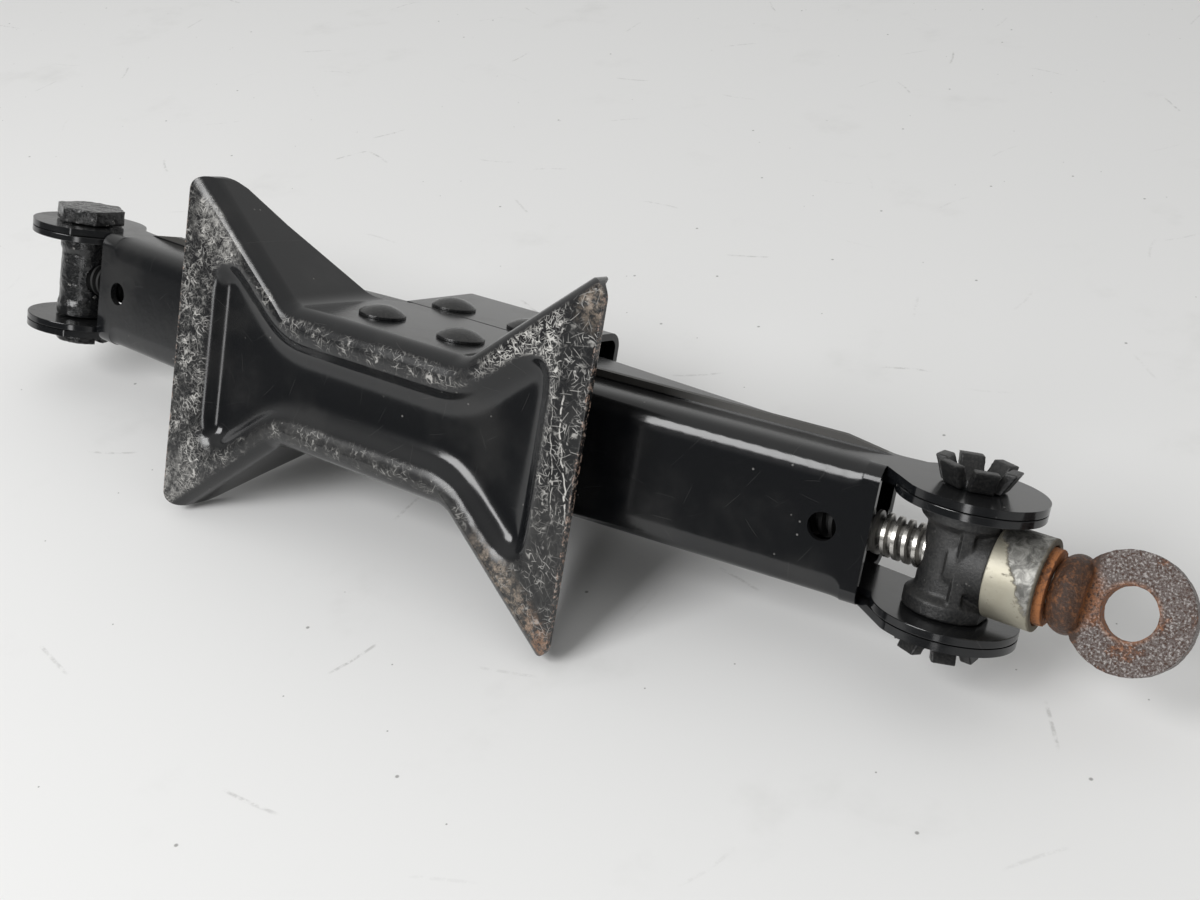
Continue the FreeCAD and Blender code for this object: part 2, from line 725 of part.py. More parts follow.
def trunnion_profile(body, label, shoulder):
    """The turned core of a trunnion about Y: a barrel with end shoulders between two journals."""
    profile = new_sketch(body, label + "_profile", "XY_Plane")
    barrel = "barrel_diameter / 2"
    wide = shoulder + " / 2"
    journal = "journal_diameter / 2"
    step = "(%s - shoulder_length)" % BARREL_HALF
    corners = [
        ("0", "-" + STAKE_FACE),
        (journal, "-" + STAKE_FACE),
        (journal, "-" + BARREL_HALF),
        (wide, "-" + BARREL_HALF),
        (wide, "-" + step),
        (barrel, "-%s + shoulder_length / 2" % step),
        (barrel, "%s - shoulder_length / 2" % step),
        (wide, step),
        (wide, BARREL_HALF),
        (journal, BARREL_HALF),
        (journal, STAKE_FACE),
        ("0", STAKE_FACE),
    ]
    add_loop(profile, corners)
    return revolve(body, label + "_core", profile, "Y_Axis")


def bore_for_screw(body, label):
    """The running bore of the screw through a trunnion."""
    bore = new_sketch(body, label + "_bore_circle", "YZ_Plane")
    add_circle(bore, "0", "0", "screw_diameter / 2 + running_gap")
    grow(body, "Pocket", label + "_bore", bore, "4 * barrel_diameter", symmetric=True)


def make_nut_trunnion():
    """The trunnion that the screw threads into, headed at the front and staked at the back."""
    body = new_body("nut_trunnion")
    trunnion_profile(body, "nut", "(barrel_diameter + arm_sheet / 2)")
    head = new_sketch(body, "nut_head_plan", "XZ_Plane", STAKE_FACE)
    add_hexagon(head, "nut_head_width / 2")
    grow(body, "Pad", "nut_head", head, "nut_head_height")
    stake = new_sketch(body, "nut_stake_plan", "XZ_Plane", "-" + STAKE_FACE)
    add_circle(stake, "0", "0", "nut_stake_diameter / 2")
    grow(body, "Pad", "nut_stake", stake, "nut_stake_height", reverse=True)
    slot = new_sketch(body, "nut_stake_slot", "XZ_Plane", "-(%s + nut_stake_height)" % STAKE_FACE)
    half_slot = "stake_slot_width / 2"
    half_run = "nut_stake_diameter"
    slot_corners = [("-" + half_run, "-" + half_slot), (half_run, "-" + half_slot)]
    slot_corners += [(half_run, half_slot), ("-" + half_run, half_slot)]
    add_loop(slot, slot_corners)
    grow(body, "Pocket", "nut_stake_cut", slot, "stake_slot_depth", reverse=True)
    bore_for_screw(body, "nut")
    place(body, "-" + TRUNNION_X, "0", TRUNNION_Z)
    return body


def add_hexagon(sketch, half_width):
    """A hexagon about the origin with two flats across the vertical axis of its sketch."""
    tall = "(%s / sqrt(3))" % half_width
    corners = [
        (half_width, "-" + tall),
        (half_width, tall),
        ("0", "2 * " + tall),
        ("-" + half_width, tall),
        ("-" + half_width, "-" + tall),
        ("0", "-2 * " + tall),
    ]
    add_loop(sketch, corners)


def add_crown(body, name, sign, height):
    """A crown of flared petals, staked out over the arms' ears at one end of the trunnion."""
    petal = new_sketch(body, name + "_section", "XY_Plane")
    root = "journal_diameter / 2"
    face = sign + STAKE_FACE
    tip = "%s(%s + %s)" % (sign, STAKE_FACE, height)
    corners = [
        ("(%s - petal_sheet / 2)" % root, face),
        ("(%s + petal_sheet / 2)" % root, face),
        ("(%s + petal_sheet / 2 + petal_flare)" % root, tip),
        ("(%s - petal_sheet / 2 + petal_flare)" % root, tip),
    ]
    add_loop(petal, corners)
    first = grow(body, "Pad", name + "_petal", petal, "petal_width", symmetric=True)
    count = int(value("petal_count"))
    pattern(body, name, first, "Y_Axis", count, FULL_TURN)


def make_thrust_trunnion():
    """The forged trunnion that the screw pulls on, with its thrust boss, flash line and crowns."""
    body = new_body("thrust_trunnion")
    trunnion_profile(body, "thrust", "shoulder_diameter")
    boss = new_sketch(body, "thrust_boss_plan", "YZ_Plane")
    add_circle(boss, "0", "0", "thrust_boss_diameter / 2")
    grow(body, "Pad", "thrust_boss", boss, "thrust_boss_reach")
    flash = new_sketch(body, "flash_section", "XZ_Plane", turn="-flash_turn")
    half = "flash_width / 2"
    low = "barrel_diameter / 4"
    high = "(barrel_diameter / 2 + flash_height)"
    add_loop(flash, [(low, "-" + half), (high, "-" + half), (high, half), (low, half)])
    grow(body, "Pad", "flash", flash, "2 * (%s - shoulder_length / 2)" % BARREL_HALF, symmetric=True)
    face = new_sketch(body, "thrust_face_plan", "YZ_Plane", "thrust_boss_reach")
    add_box(face, BARREL_HALF, "-shoulder_diameter", "shoulder_diameter")
    grow(body, "Pocket", "thrust_face", face, "shoulder_diameter", reverse=True)
    add_crown(body, "front_crown", "-", "petal_front_height")
    add_crown(body, "back_crown", "", "petal_back_height")
    bore_for_screw(body, "thrust")
    place(body, TRUNNION_X, "0", TRUNNION_Z)
    return body


def turned_about_x(label, corners, arcs=None):
    """A piece of the drive, turned about X, with its outline measured from the thrust trunnion."""
    body = new_body(label)
    profile = new_sketch(body, label + "_profile", "XY_Plane")
    add_loop(profile, corners, arcs)
    revolve(body, label + "_turned", profile, "X_Axis")
    return body


def make_drive():
    """The screw, and what sits on it outside the thrust trunnion: cup, race, washer and eye."""
    shaft = "screw_diameter / 2"
    hug = "(screw_diameter / 2 + running_gap)"
    cup_start = "(thrust_boss_reach + side_gap)"
    cup_end = "(%s + cup_length)" % cup_start
    cup_floor = "(%s + cup_wall)" % cup_start
    race_end = "(%s + race_thickness)" % cup_floor
    washer_end = "(%s + washer_thickness)" % race_end
    boss_start = "(%s + eye_groove)" % washer_end
    boss_end = "(%s + eye_boss_length)" % boss_start
    cup_in = "(cup_diameter / 2 - cup_wall)"
    shank_end = "(%s + eye_boss_length / 2)" % boss_start

    screw = doc.addObject("Part::Cylinder", "lift_screw")
    screw.Label = "lift_screw"
    bind(screw, "Radius", shaft)
    bind(screw, "Height", "2 * %s + screw_tail + %s" % (TRUNNION_X, shank_end))
    along_x = FreeCAD.Rotation(FreeCAD.Vector(0, 0, 1), FreeCAD.Vector(1, 0, 0))
    place(screw, "-(%s + screw_tail)" % TRUNNION_X, "0", TRUNNION_Z, along_x)

    cup = [(cup_start, hug), (cup_start, "cup_diameter / 2"), (cup_end, "cup_diameter / 2")]
    cup += [(cup_end, cup_in), (cup_floor, cup_in), (cup_floor, hug)]
    race_out = "(%s - side_gap)" % cup_in
    race = [(cup_floor, hug), (cup_floor, race_out), (race_end, race_out), (race_end, hug)]
    rim = "washer_diameter / 2"
    neck = "eye_neck_diameter / 2"
    washer = [(race_end, hug), (race_end, rim), (washer_end, rim), (washer_end, hug)]
    for label, corners in (("thrust_cup", cup), ("thrust_race", race), ("thrust_washer", washer)):
        body = turned_about_x(label, corners)
        place(body, TRUNNION_X, "0", TRUNNION_Z)

    bulge = "(eye_boss_length / 2)"
    waist = "(eye_boss_diameter / 2 - %s / 2)" % bulge
    centre_x = "(%s + %s)" % (boss_start, bulge)
    boss = [
        (washer_end, "0"),
        (washer_end, neck),
        (boss_start, neck),
        (boss_start, waist),
        (boss_end, waist),
        (boss_end, "0"),
    ]
    dome = "(((%s) ^ 2 + (%s / 2) ^ 2) / %s)" % (bulge, bulge, bulge)
    arcs = {3: (centre_x, "(eye_boss_diameter / 2 - %s)" % dome, dome, -1)}
    eye = turned_about_x("eye_end", boss, arcs)
    ring_x = "(%s + eye_ring_diameter / 2 - eye_root)" % boss_end
    ring = new_sketch(eye, "eye_ring_plan", "XY_Plane")
    add_circle(ring, ring_x, "0", "eye_ring_diameter / 2")
    grow(eye, "Pad", "eye_ring", ring, "eye_ring_thickness", symmetric=True)
    hole = new_sketch(eye, "eye_hole_plan", "XY_Plane")
    add_circle(hole, ring_x, "0", "eye_hole_diameter / 2")
    grow(eye, "Pocket", "eye_hole", hole, "2 * eye_boss_diameter", symmetric=True)
    socket = new_sketch(eye, "eye_socket_circle", "YZ_Plane", washer_end)
    add_circle(socket, "0", "0", hug)
    grow(eye, "Pocket", "eye_socket", socket, "%s - %s" % (shank_end, washer_end), reverse=True)
    turn = FreeCAD.Rotation(FreeCAD.Vector(1, 0, 0), value("eye_turn"))
    place(eye, TRUNNION_X, "0", TRUNNION_Z, turn)


def check_and_write():
    """Stop on any failed object or broken solid, then write each piece to its own file."""
    doc.recompute()
    failed = [thing.Label for thing in doc.Objects if {"Invalid", "Error"} & set(thing.State)]
    if failed:
        raise RuntimeError("failed objects: " + ", ".join(failed))
    pieces = [thing for thing in doc.Objects if thing.isDerivedFrom("PartDesign::Body")]
    pieces += [thing for thing in doc.Objects if thing.isDerivedFrom("Part::Primitive")]
    for piece in pieces:
        shape = piece.Shape
        if shape.isNull() or not shape.isValid() or len(shape.Solids) != 1:
            raise RuntimeError("%s is not one valid solid" % piece.Label)
    os.makedirs("parts", exist_ok=True)
    for piece in pieces:
        piece.Shape.exportStep(os.path.join("parts", piece.Label + ".step"))


make_base()
make_arms()
make_saddle()
make_pivots()
make_nut_trunnion()
make_thrust_trunnion()
make_drive()
check_and_write()
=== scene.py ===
"""Scissor jack lying on its side: the finishes and fine shapes of the packed part.

Each operator dresses one piece, or one group of like pieces. The last one sets the stage.
All lengths are in metres, in the part's own frame: +Z is the lift, +X runs to the eye.
"""

import json
import math

import bpy
from mathutils import Euler, Matrix, Vector

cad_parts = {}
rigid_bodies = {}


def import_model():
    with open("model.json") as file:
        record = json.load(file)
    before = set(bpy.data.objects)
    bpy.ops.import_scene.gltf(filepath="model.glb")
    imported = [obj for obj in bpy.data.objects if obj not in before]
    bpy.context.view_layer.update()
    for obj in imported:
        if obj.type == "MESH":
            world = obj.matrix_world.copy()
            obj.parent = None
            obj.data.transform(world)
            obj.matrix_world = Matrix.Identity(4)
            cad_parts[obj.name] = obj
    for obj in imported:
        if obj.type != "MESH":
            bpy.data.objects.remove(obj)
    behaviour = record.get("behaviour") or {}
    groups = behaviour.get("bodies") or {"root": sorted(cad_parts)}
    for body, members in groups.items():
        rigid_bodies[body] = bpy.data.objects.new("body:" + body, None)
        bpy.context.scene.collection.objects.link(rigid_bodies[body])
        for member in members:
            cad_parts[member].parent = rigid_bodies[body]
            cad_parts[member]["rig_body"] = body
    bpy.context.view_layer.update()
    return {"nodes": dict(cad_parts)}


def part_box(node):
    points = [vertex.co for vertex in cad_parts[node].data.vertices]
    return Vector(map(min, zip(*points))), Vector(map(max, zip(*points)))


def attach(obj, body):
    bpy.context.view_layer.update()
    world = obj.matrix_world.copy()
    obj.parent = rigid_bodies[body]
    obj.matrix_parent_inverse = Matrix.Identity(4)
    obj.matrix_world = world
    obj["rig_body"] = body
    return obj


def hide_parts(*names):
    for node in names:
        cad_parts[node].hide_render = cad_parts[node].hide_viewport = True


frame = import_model()

bl_info = {
    "name": "Scissor Jack",
    "version": (1, 0, 0),
    "blender": (4, 5, 0),
    "location": "View3D > Sidebar > Jack",
    "description": "Dresses a scissor jack that lies closed on its side",
    "category": "Object",
}

MM = 0.001
WELD = 0.004 * MM
FLAT_ANGLE = math.radians(0.4)
SHARP_ANGLE = math.radians(32)
EDGE_SEGMENTS = 2
SHORT_EDGE = 0.2 * MM
FLAT_NEAR = 0.04 * MM
FLAT_FAR = 0.14 * MM
CUT_MARGIN = 5 * MM
SKIN_ROUNDS = 3
SHEET_EDGE = 0.2 * MM
BASE_EDGE = 0.25 * MM
BASE_VOXEL = 0.75 * MM
ARM_VOXEL = 0.6 * MM
ARM_REACH = 155.0 * MM
SEAM_INSET = 2 * MM
LIP_ROOT = 1.2 * MM
RIVET_EDGE = 0.15 * MM
CUP_EDGE = 0.3 * MM
SHANK_EDGE = 0.6 * MM
SHANK_LAP = 2 * MM
SHANK_SIDES = 40
FLOOR_SIDE = 3.2
FILL_SIDES = (0.25, 0.5)
SENSOR_WIDTH = 36
SIDES = ("left", "right")

BRIGHT_STEEL = (0.55, 0.535, 0.505)
GREASE = (0.030, 0.027, 0.023)
# Near black: painted shade over the greasy screw inside the arms.
GREASE_IN_SHADE = (0.008, 0.008, 0.008)
ZINC_DARK = (0.33, 0.305, 0.23)
ZINC_LIGHT = (0.50, 0.48, 0.41)
PEELED_DARK = (0.13, 0.128, 0.12)
PEELED_LIGHT = (0.40, 0.395, 0.37)
CUP_GRIME = (0.09, 0.075, 0.05)
# Painted glints: light grains on the eye's ring stand in for the sparkle of its pitted skin.
RING_GLINTS = (0.44, 0.42, 0.405)
BOSS_BROWN = (0.036, 0.016, 0.008)
FLOOR_SMUDGE = (0.60, 0.60, 0.585)
FLOOR_SPECK = (0.12, 0.115, 0.105)
FLOOR_MARK = (0.24, 0.235, 0.22)
SKY_WHITE = (1.0, 1.0, 0.99, 1.0)


class JackPaint(bpy.types.PropertyGroup):
    """Black paint and what has rubbed through it."""

    paint: bpy.props.FloatVectorProperty(
        name="Paint", description="Colour of the paint", subtype="COLOR", size=3,
        default=(0.0052, 0.0057, 0.0066))
    dust: bpy.props.FloatVectorProperty(
        name="Dust", description="Colour of the dust film", subtype="COLOR", size=3,
        default=(0.06, 0.058, 0.054))
    scratch: bpy.props.FloatVectorProperty(
        name="Scratch", description="Colour of a scratch through the paint", subtype="COLOR", size=3,
        default=(0.50, 0.49, 0.465))
    grime: bpy.props.FloatVectorProperty(
        name="Grime", description="Colour of the ground's dirt on the rim", subtype="COLOR", size=3,
        default=(0.060, 0.058, 0.054))
    bare: bpy.props.FloatVectorProperty(
        name="Bare steel", description="Colour of steel rubbed bare", subtype="COLOR", size=3,
        default=(0.34, 0.275, 0.215))
    gloss: bpy.props.FloatProperty(
        name="Roughness", description="Roughness of clean paint", min=0, max=1, default=0.14)


class JackRust(bpy.types.PropertyGroup):
    """Rust on the unpainted steel and on the paint's worn corners."""

    fresh: bpy.props.FloatVectorProperty(
        name="Fresh rust", description="Orange rust", subtype="COLOR", size=3,
        default=(0.36, 0.135, 0.042))
    old: bpy.props.FloatVectorProperty(
        name="Old rust", description="Dark brown rust", subtype="COLOR", size=3,
        default=(0.055, 0.024, 0.014))
    scale: bpy.props.FloatVectorProperty(
        name="Mill scale", description="Grey skin between the pits", subtype="COLOR", size=3,
        default=(0.135, 0.112, 0.104))


class JackRecess(bpy.types.PropertyGroup):
    """Region of the base that the press has drawn softly."""

    waist: bpy.props.FloatProperty(
        name="Half waist", description="Half width of the soft region at the waist", unit="LENGTH",
        default=16.4 * MM)
    straight: bpy.props.FloatProperty(
        name="Straight", description="Half length of the waist", unit="LENGTH", default=32 * MM)
    slope: bpy.props.FloatProperty(
        name="Slope", description="Slant of the ears' edges", subtype="ANGLE", default=math.radians(40))
    length: bpy.props.FloatProperty(
        name="Half length", description="Half length of the soft region", unit="LENGTH", default=70 * MM)
    height: bpy.props.FloatProperty(
        name="Height", description="How far up the region reaches", unit="LENGTH", default=10 * MM)
    rounds: bpy.props.IntProperty(name="Rounds", description="Rounds of smoothing", default=62)


class JackBend(bpy.types.PropertyGroup):
    """Soft bends beside a lower arm's web, measured from its base rivet."""

    first: bpy.props.FloatProperty(
        name="Start", description="Where the soft bends start", unit="LENGTH", default=30 * MM)
    last: bpy.props.FloatProperty(
        name="End", description="Where the soft bends end", unit="LENGTH", default=129 * MM)
    top: bpy.props.FloatProperty(
        name="Top", description="Soft region's start below the rivets' line", unit="LENGTH",
        default=-4 * MM)
    bottom: bpy.props.FloatProperty(
        name="Bottom", description="Soft region's end below the rivets' line", unit="LENGTH",
        default=12 * MM)
    flat: bpy.props.FloatProperty(
        name="Flat", description="Half width of the web that stays flat", unit="LENGTH", default=8 * MM)
    across: bpy.props.FloatProperty(
        name="Across", description="Half width of the soft region", unit="LENGTH", default=30 * MM)
    wall: bpy.props.FloatProperty(
        name="Wall", description="Half width over the arm's walls", unit="LENGTH", default=19.7 * MM)
    lip_edge: bpy.props.FloatProperty(
        name="Lip edge", description="Half width over the out-turned lips", unit="LENGTH",
        default=22 * MM)
    lip_first: bpy.props.FloatProperty(
        name="Lip start", description="Where the lips start to stand out", unit="LENGTH", default=27 * MM)
    lip_full: bpy.props.FloatProperty(
        name="Lip full", description="Where the lips reach their width", unit="LENGTH", default=31 * MM)
    lip_last: bpy.props.FloatProperty(
        name="Lip joint", description="Where they meet the solid's lips", unit="LENGTH", default=48 * MM)
    lip_rise: bpy.props.FloatProperty(
        name="Lip rise", description="Lip's underside above the rivets' line", unit="LENGTH",
        default=9.8 * MM)
    lip_thickness: bpy.props.FloatProperty(
        name="Lip thickness", description="Thickness of the out-turned lip", unit="LENGTH",
        default=2.2 * MM)
    rounds: bpy.props.IntProperty(name="Rounds", description="Rounds of smoothing", default=90)


class JackThread(bpy.types.PropertyGroup):
    """Trapezoidal thread of the lifting screw."""

    pitch: bpy.props.FloatProperty(
        name="Pitch", description="Advance in one turn", unit="LENGTH", default=3 * MM)
    depth: bpy.props.FloatProperty(
        name="Depth", description="Crest to root", unit="LENGTH", default=1.75 * MM)
    crest: bpy.props.FloatProperty(
        name="Crest", description="Width of the crest", unit="LENGTH", default=1.05 * MM)
    flank: bpy.props.FloatProperty(
        name="Flank", description="Slope of the flanks", subtype="ANGLE", default=math.radians(15))
    end: bpy.props.FloatProperty(
        name="Thread end", description="Where the thread stops", unit="LENGTH", default=167 * MM)
    steps: bpy.props.IntProperty(name="Steps", description="Facets in one turn", default=28)


class JackStage(bpy.types.PropertyGroup):
    """Floor, light and camera."""

    floor: bpy.props.FloatVectorProperty(
        name="Floor", description="Colour of the floor", subtype="COLOR", size=3,
        default=(0.80, 0.80, 0.795))
    floor_tilt: bpy.props.FloatProperty(
        name="Floor tilt", description="Turn of the floor about X, from the part's side", subtype="ANGLE",
        default=math.radians(22.31))
    floor_drop: bpy.props.FloatProperty(
        name="Floor drop", description="Floor's distance from the origin", unit="LENGTH",
        default=54.0 * MM)
    sky_dark: bpy.props.FloatProperty(
        name="Near sky", description="Light from behind the camera", min=0, default=0.12)
    sky_bright: bpy.props.FloatProperty(
        name="Far sky", description="Light from above and from behind the jack", min=0, default=0.63)
    lamp: bpy.props.FloatProperty(
        name="Lamp", description="Power of the soft lamp", unit="POWER", default=22.0)
    lamp_width: bpy.props.FloatProperty(
        name="Lamp width", description="Side of the soft lamp along the jack", unit="LENGTH",
        default=0.85)
    lamp_depth: bpy.props.FloatProperty(
        name="Lamp depth", description="Side of the soft lamp across the jack", unit="LENGTH",
        default=0.80)
    lamp_reach: bpy.props.FloatProperty(
        name="Lamp distance", description="From the jack to the lamp", unit="LENGTH", default=1.6)
    lamp_aim: bpy.props.FloatVectorProperty(
        name="Lamp direction", description="Towards the lamp: right, up and front", size=3,
        default=(-0.24, 0.64, 0.72))
    fill: bpy.props.FloatProperty(
        name="Fill", description="Power of the narrow lamp at the right", unit="POWER", default=2.2)
    fill_aim: bpy.props.FloatVectorProperty(
        name="Fill direction", description="Towards the narrow lamp: right, up and front", size=3,
        default=(0.32, 0.19, 0.93))
    lens: bpy.props.FloatProperty(
        name="Lens", description="Focal length", unit="CAMERA", default=45.075)
    eye: bpy.props.FloatVectorProperty(
        name="Camera place", description="Where the camera stands", subtype="TRANSLATION", size=3,
        default=(0.27345, -0.11584, -0.33482))
    turn: bpy.props.FloatVectorProperty(
        name="Camera turn", description="How the camera is turned", subtype="EULER", size=3,
        default=(2.97170, -0.55655, -0.18956))


class Wire:
    """One output of a finish's nodes. Sums, products and tests of wires add Math nodes."""

    def __init__(self, finish, node, output=0):
        self.finish = finish
        self.node = node
        self.socket = node.outputs[output]

    def out(self, output):
        """Another output of the same node."""
        return Wire(self.finish, self.node, output)

    def maths(self, operation, first, second):
        return self.finish.node("ShaderNodeMath", {"operation": operation}, {0: first, 1: second})

    def __add__(self, other):
        return self.maths("ADD", self, other)

    def __sub__(self, other):
        return self.maths("SUBTRACT", self, other)

    def __rsub__(self, other):
        return self.maths("SUBTRACT", other, self)

    def __mul__(self, other):
        return self.maths("MULTIPLY", self, other)

    def __pow__(self, other):
        return self.maths("POWER", self, other)

    def __abs__(self):
        return self.maths("ABSOLUTE", self, 0.0)

    __radd__ = __add__
    __rmul__ = __mul__

    def most(self, other):
        return self.maths("MAXIMUM", self, other)

    def least(self, other):
        return self.maths("MINIMUM", self, other)


class Finish:
    """A procedural material and the nodes that make it."""

    def __init__(self, name):
        self.material = bpy.data.materials.new(name)
        self.material.use_nodes = True
        self.tree = self.material.node_tree
        self.shader = self.tree.nodes["Principled BSDF"]
        self.place = self.node("ShaderNodeTexCoord", output="Object")
        axes = self.node("ShaderNodeSeparateXYZ", sockets={0: self.place})
        self.x = axes
        self.y = axes.out(1)
        self.z = axes.out(2)

    def upward(self):
        """1 on the faces that look up as the jack lies, fading to 0 on its sides."""
        normal = self.node("ShaderNodeTexCoord", output="Normal")
        lean = self.vector("DOT_PRODUCT", normal, (0.0, -0.93, -0.37), "Value")
        return self.step(lean, 0.45, 0.95)

    def node(self, kind, settings=None, sockets=None, output=0):
        """A new node; its inputs take numbers, colours or wires."""
        made = self.tree.nodes.new(kind)
        for key, value in (settings or {}).items():
            setattr(made, key, value)
        for key, value in (sockets or {}).items():
            self.feed(made.inputs[key], value)
        return Wire(self, made, output)

    def vector(self, operation, first, second, output=0):
        """A sum, difference or measure of two vectors."""
        return self.node("ShaderNodeVectorMath", {"operation": operation}, {0: first, 1: second}, output)

    def feed(self, socket, value):
        """Links a wire to an input, or sets the input to a number or colour."""
        if isinstance(value, Wire):
            self.tree.links.new(value.socket, socket)
        elif socket.type == "RGBA":
            socket.default_value = (*value[:3], 1.0)
        else:
            socket.default_value = value

    def step(self, value, low, high):
        """0 below low and 1 above high, smooth between; turned round where low is above high."""
        sockets = {"Value": value, "From Min": low, "From Max": high}
        return self.node("ShaderNodeMapRange", {"interpolation_type": "SMOOTHSTEP"}, sockets)

    def mix(self, factor, first, second):
        """The first colour where the factor is 0, the second where it is 1."""
        return self.node("ShaderNodeMix", {"data_type": "RGBA"}, {0: factor, 6: first, 7: second}, 2)

    def noise(self, size, detail=2.0, rough=0.5, place=None, distortion=0.0):
        """Cloudy noise whose blotches are about size across."""
        sockets = {"Vector": place or self.place, "Scale": 1 / size, "Detail": detail,
                   "Roughness": rough, "Distortion": distortion}
        return self.node("ShaderNodeTexNoise", None, sockets)

    def plane(self, first, second):
        """The object's place flattened on two of its axes."""
        return self.node("ShaderNodeCombineXYZ", None, {0: first, 1: second})

    def strokes(self, plane, cell, length, width, seed, curl=120.0):
        """Short curled scratches, one to a cell, each turned its own way: 1 on a scratch, 0 off it."""
        shift = (0.0371 * seed, 0.0613 * seed, 0.0)
        moved = self.vector("ADD", plane, shift)
        cells = self.node("ShaderNodeTexVoronoi", {"voronoi_dimensions": "2D"},
                          {"Vector": moved, "Scale": 1 / cell})
        offset = self.vector("SUBTRACT", moved, cells.out("Position"))
        chance = self.node("ShaderNodeSeparateColor", None, {0: cells.out("Color")})
        turned = self.node("ShaderNodeVectorRotate", {"rotation_type": "Z_AXIS"},
                           {"Vector": offset, "Angle": chance * math.tau})
        along = self.node("ShaderNodeSeparateXYZ", None, {0: turned})
        across = along.out(1) + along * along * ((chance.out(1) - 0.5) * curl)
        line = self.step(abs(across), width, width * 0.25)
        ends = self.step(abs(along), length / 2, length * 0.3)
        return line * ends * chance.out(2)

    def curls(self, plane, size, width, seed):
        """Fine curled hairs: the level lines of a cloudy noise, broken up by another."""
        shift = (0.0457 * seed, 0.0291 * seed, 0.0)
        moved = self.vector("ADD", plane, shift)
        cloud = self.noise(size, 1.5, 0.5, moved, 0.7)
        line = self.step(abs(cloud - 0.5), width, width * 0.2)
        other = self.vector("SUBTRACT", plane, shift)
        return line * self.step(self.noise(size * 0.8, 1.0, 0.5, other), 0.40, 0.58)

    def specks(self, place, size, share, reach=0.16, flat=False):
        """Small round spots in a share of the cells; reach is a spot's radius as a share of its cell."""
        settings = {"voronoi_dimensions": "2D" if flat else "3D"}
        cells = self.node("ShaderNodeTexVoronoi", settings, {"Vector": place, "Scale": 1 / size})
        chance = self.node("ShaderNodeSeparateColor", None, {0: cells.out("Color")})
        return self.step(cells, reach, reach * 0.4) * self.step(chance, share, share * 0.9)

    def near(self, point, low, high):
        """1 within low of a point, fading to 0 at high."""
        away = self.vector("DISTANCE", self.place, point, "Value")
        return self.step(away, high, low)

    def relief(self, height, depth):
        """Fine unevenness of the surface."""
        bump = self.node("ShaderNodeBump", None,
                         {"Strength": 1.0, "Distance": depth, "Height": height})
        self.feed(self.shader.inputs["Normal"], bump)

    def surface(self, **sockets):
        """Feeds the shader's inputs by name and gives the finished material."""
        for name, value in sockets.items():
            self.feed(self.shader.inputs[name.replace("_", " ")], value)
        return self.material


def paint_coat(finish, paint, settling=1.0):
    """Gloss black paint with dust, hairlines and a faint orange peel: colour, roughness, height."""
    film = finish.step(finish.noise(26 * MM, 4.0, 0.6), 0.46, 0.78)
    settled = finish.upward() * (0.6 + film * 0.4) * settling
    lint = finish.specks(finish.place, 2.6 * MM, 0.05)
    hair = finish.strokes(finish.plane(finish.x, finish.y), 9 * MM, 7 * MM, 0.05 * MM, 3, 40.0)
    colour = finish.mix(film * 0.16 + settled * 0.16, paint.paint, paint.dust)
    colour = finish.mix(lint * 0.25, colour, paint.scratch)
    colour = finish.mix(hair * 0.10, colour, paint.scratch)
    rough = film * 0.08 + settled * 0.08 + lint * 0.3 + paint.gloss
    height = finish.noise(1.6 * MM, 2.0) * 0.35 + finish.noise(9 * MM, 2.0)
    return colour, rough, height


def sheet_finish(name, paint, dusty_beyond=None):
    """Gloss paint; dust lies on what stands out sideways beyond a half width."""
    finish = Finish(name)
    colour, rough, height = paint_coat(finish, paint)
    if dusty_beyond:
        aside = finish.step(abs(finish.y), dusty_beyond, dusty_beyond + 0.4 * MM)
        colour = finish.mix(aside, colour, paint.dust)
        rough = rough + aside * 0.35
    finish.relief(height, 0.02 * MM)
    return finish.surface(Base_Color=colour, Roughness=rough)


def tangle(finish, ground, seed, cells, curl_size):
    """A tangle of fine curled scratches, such as the ground leaves on paint."""
    lines = finish.curls(ground, curl_size, 0.045, seed)
    for number, cell in enumerate(cells):
        layer = finish.strokes(ground, cell * MM, cell * MM, 0.17 * MM, seed + number + 1, 240.0)
        lines = lines.most(layer)
    return lines


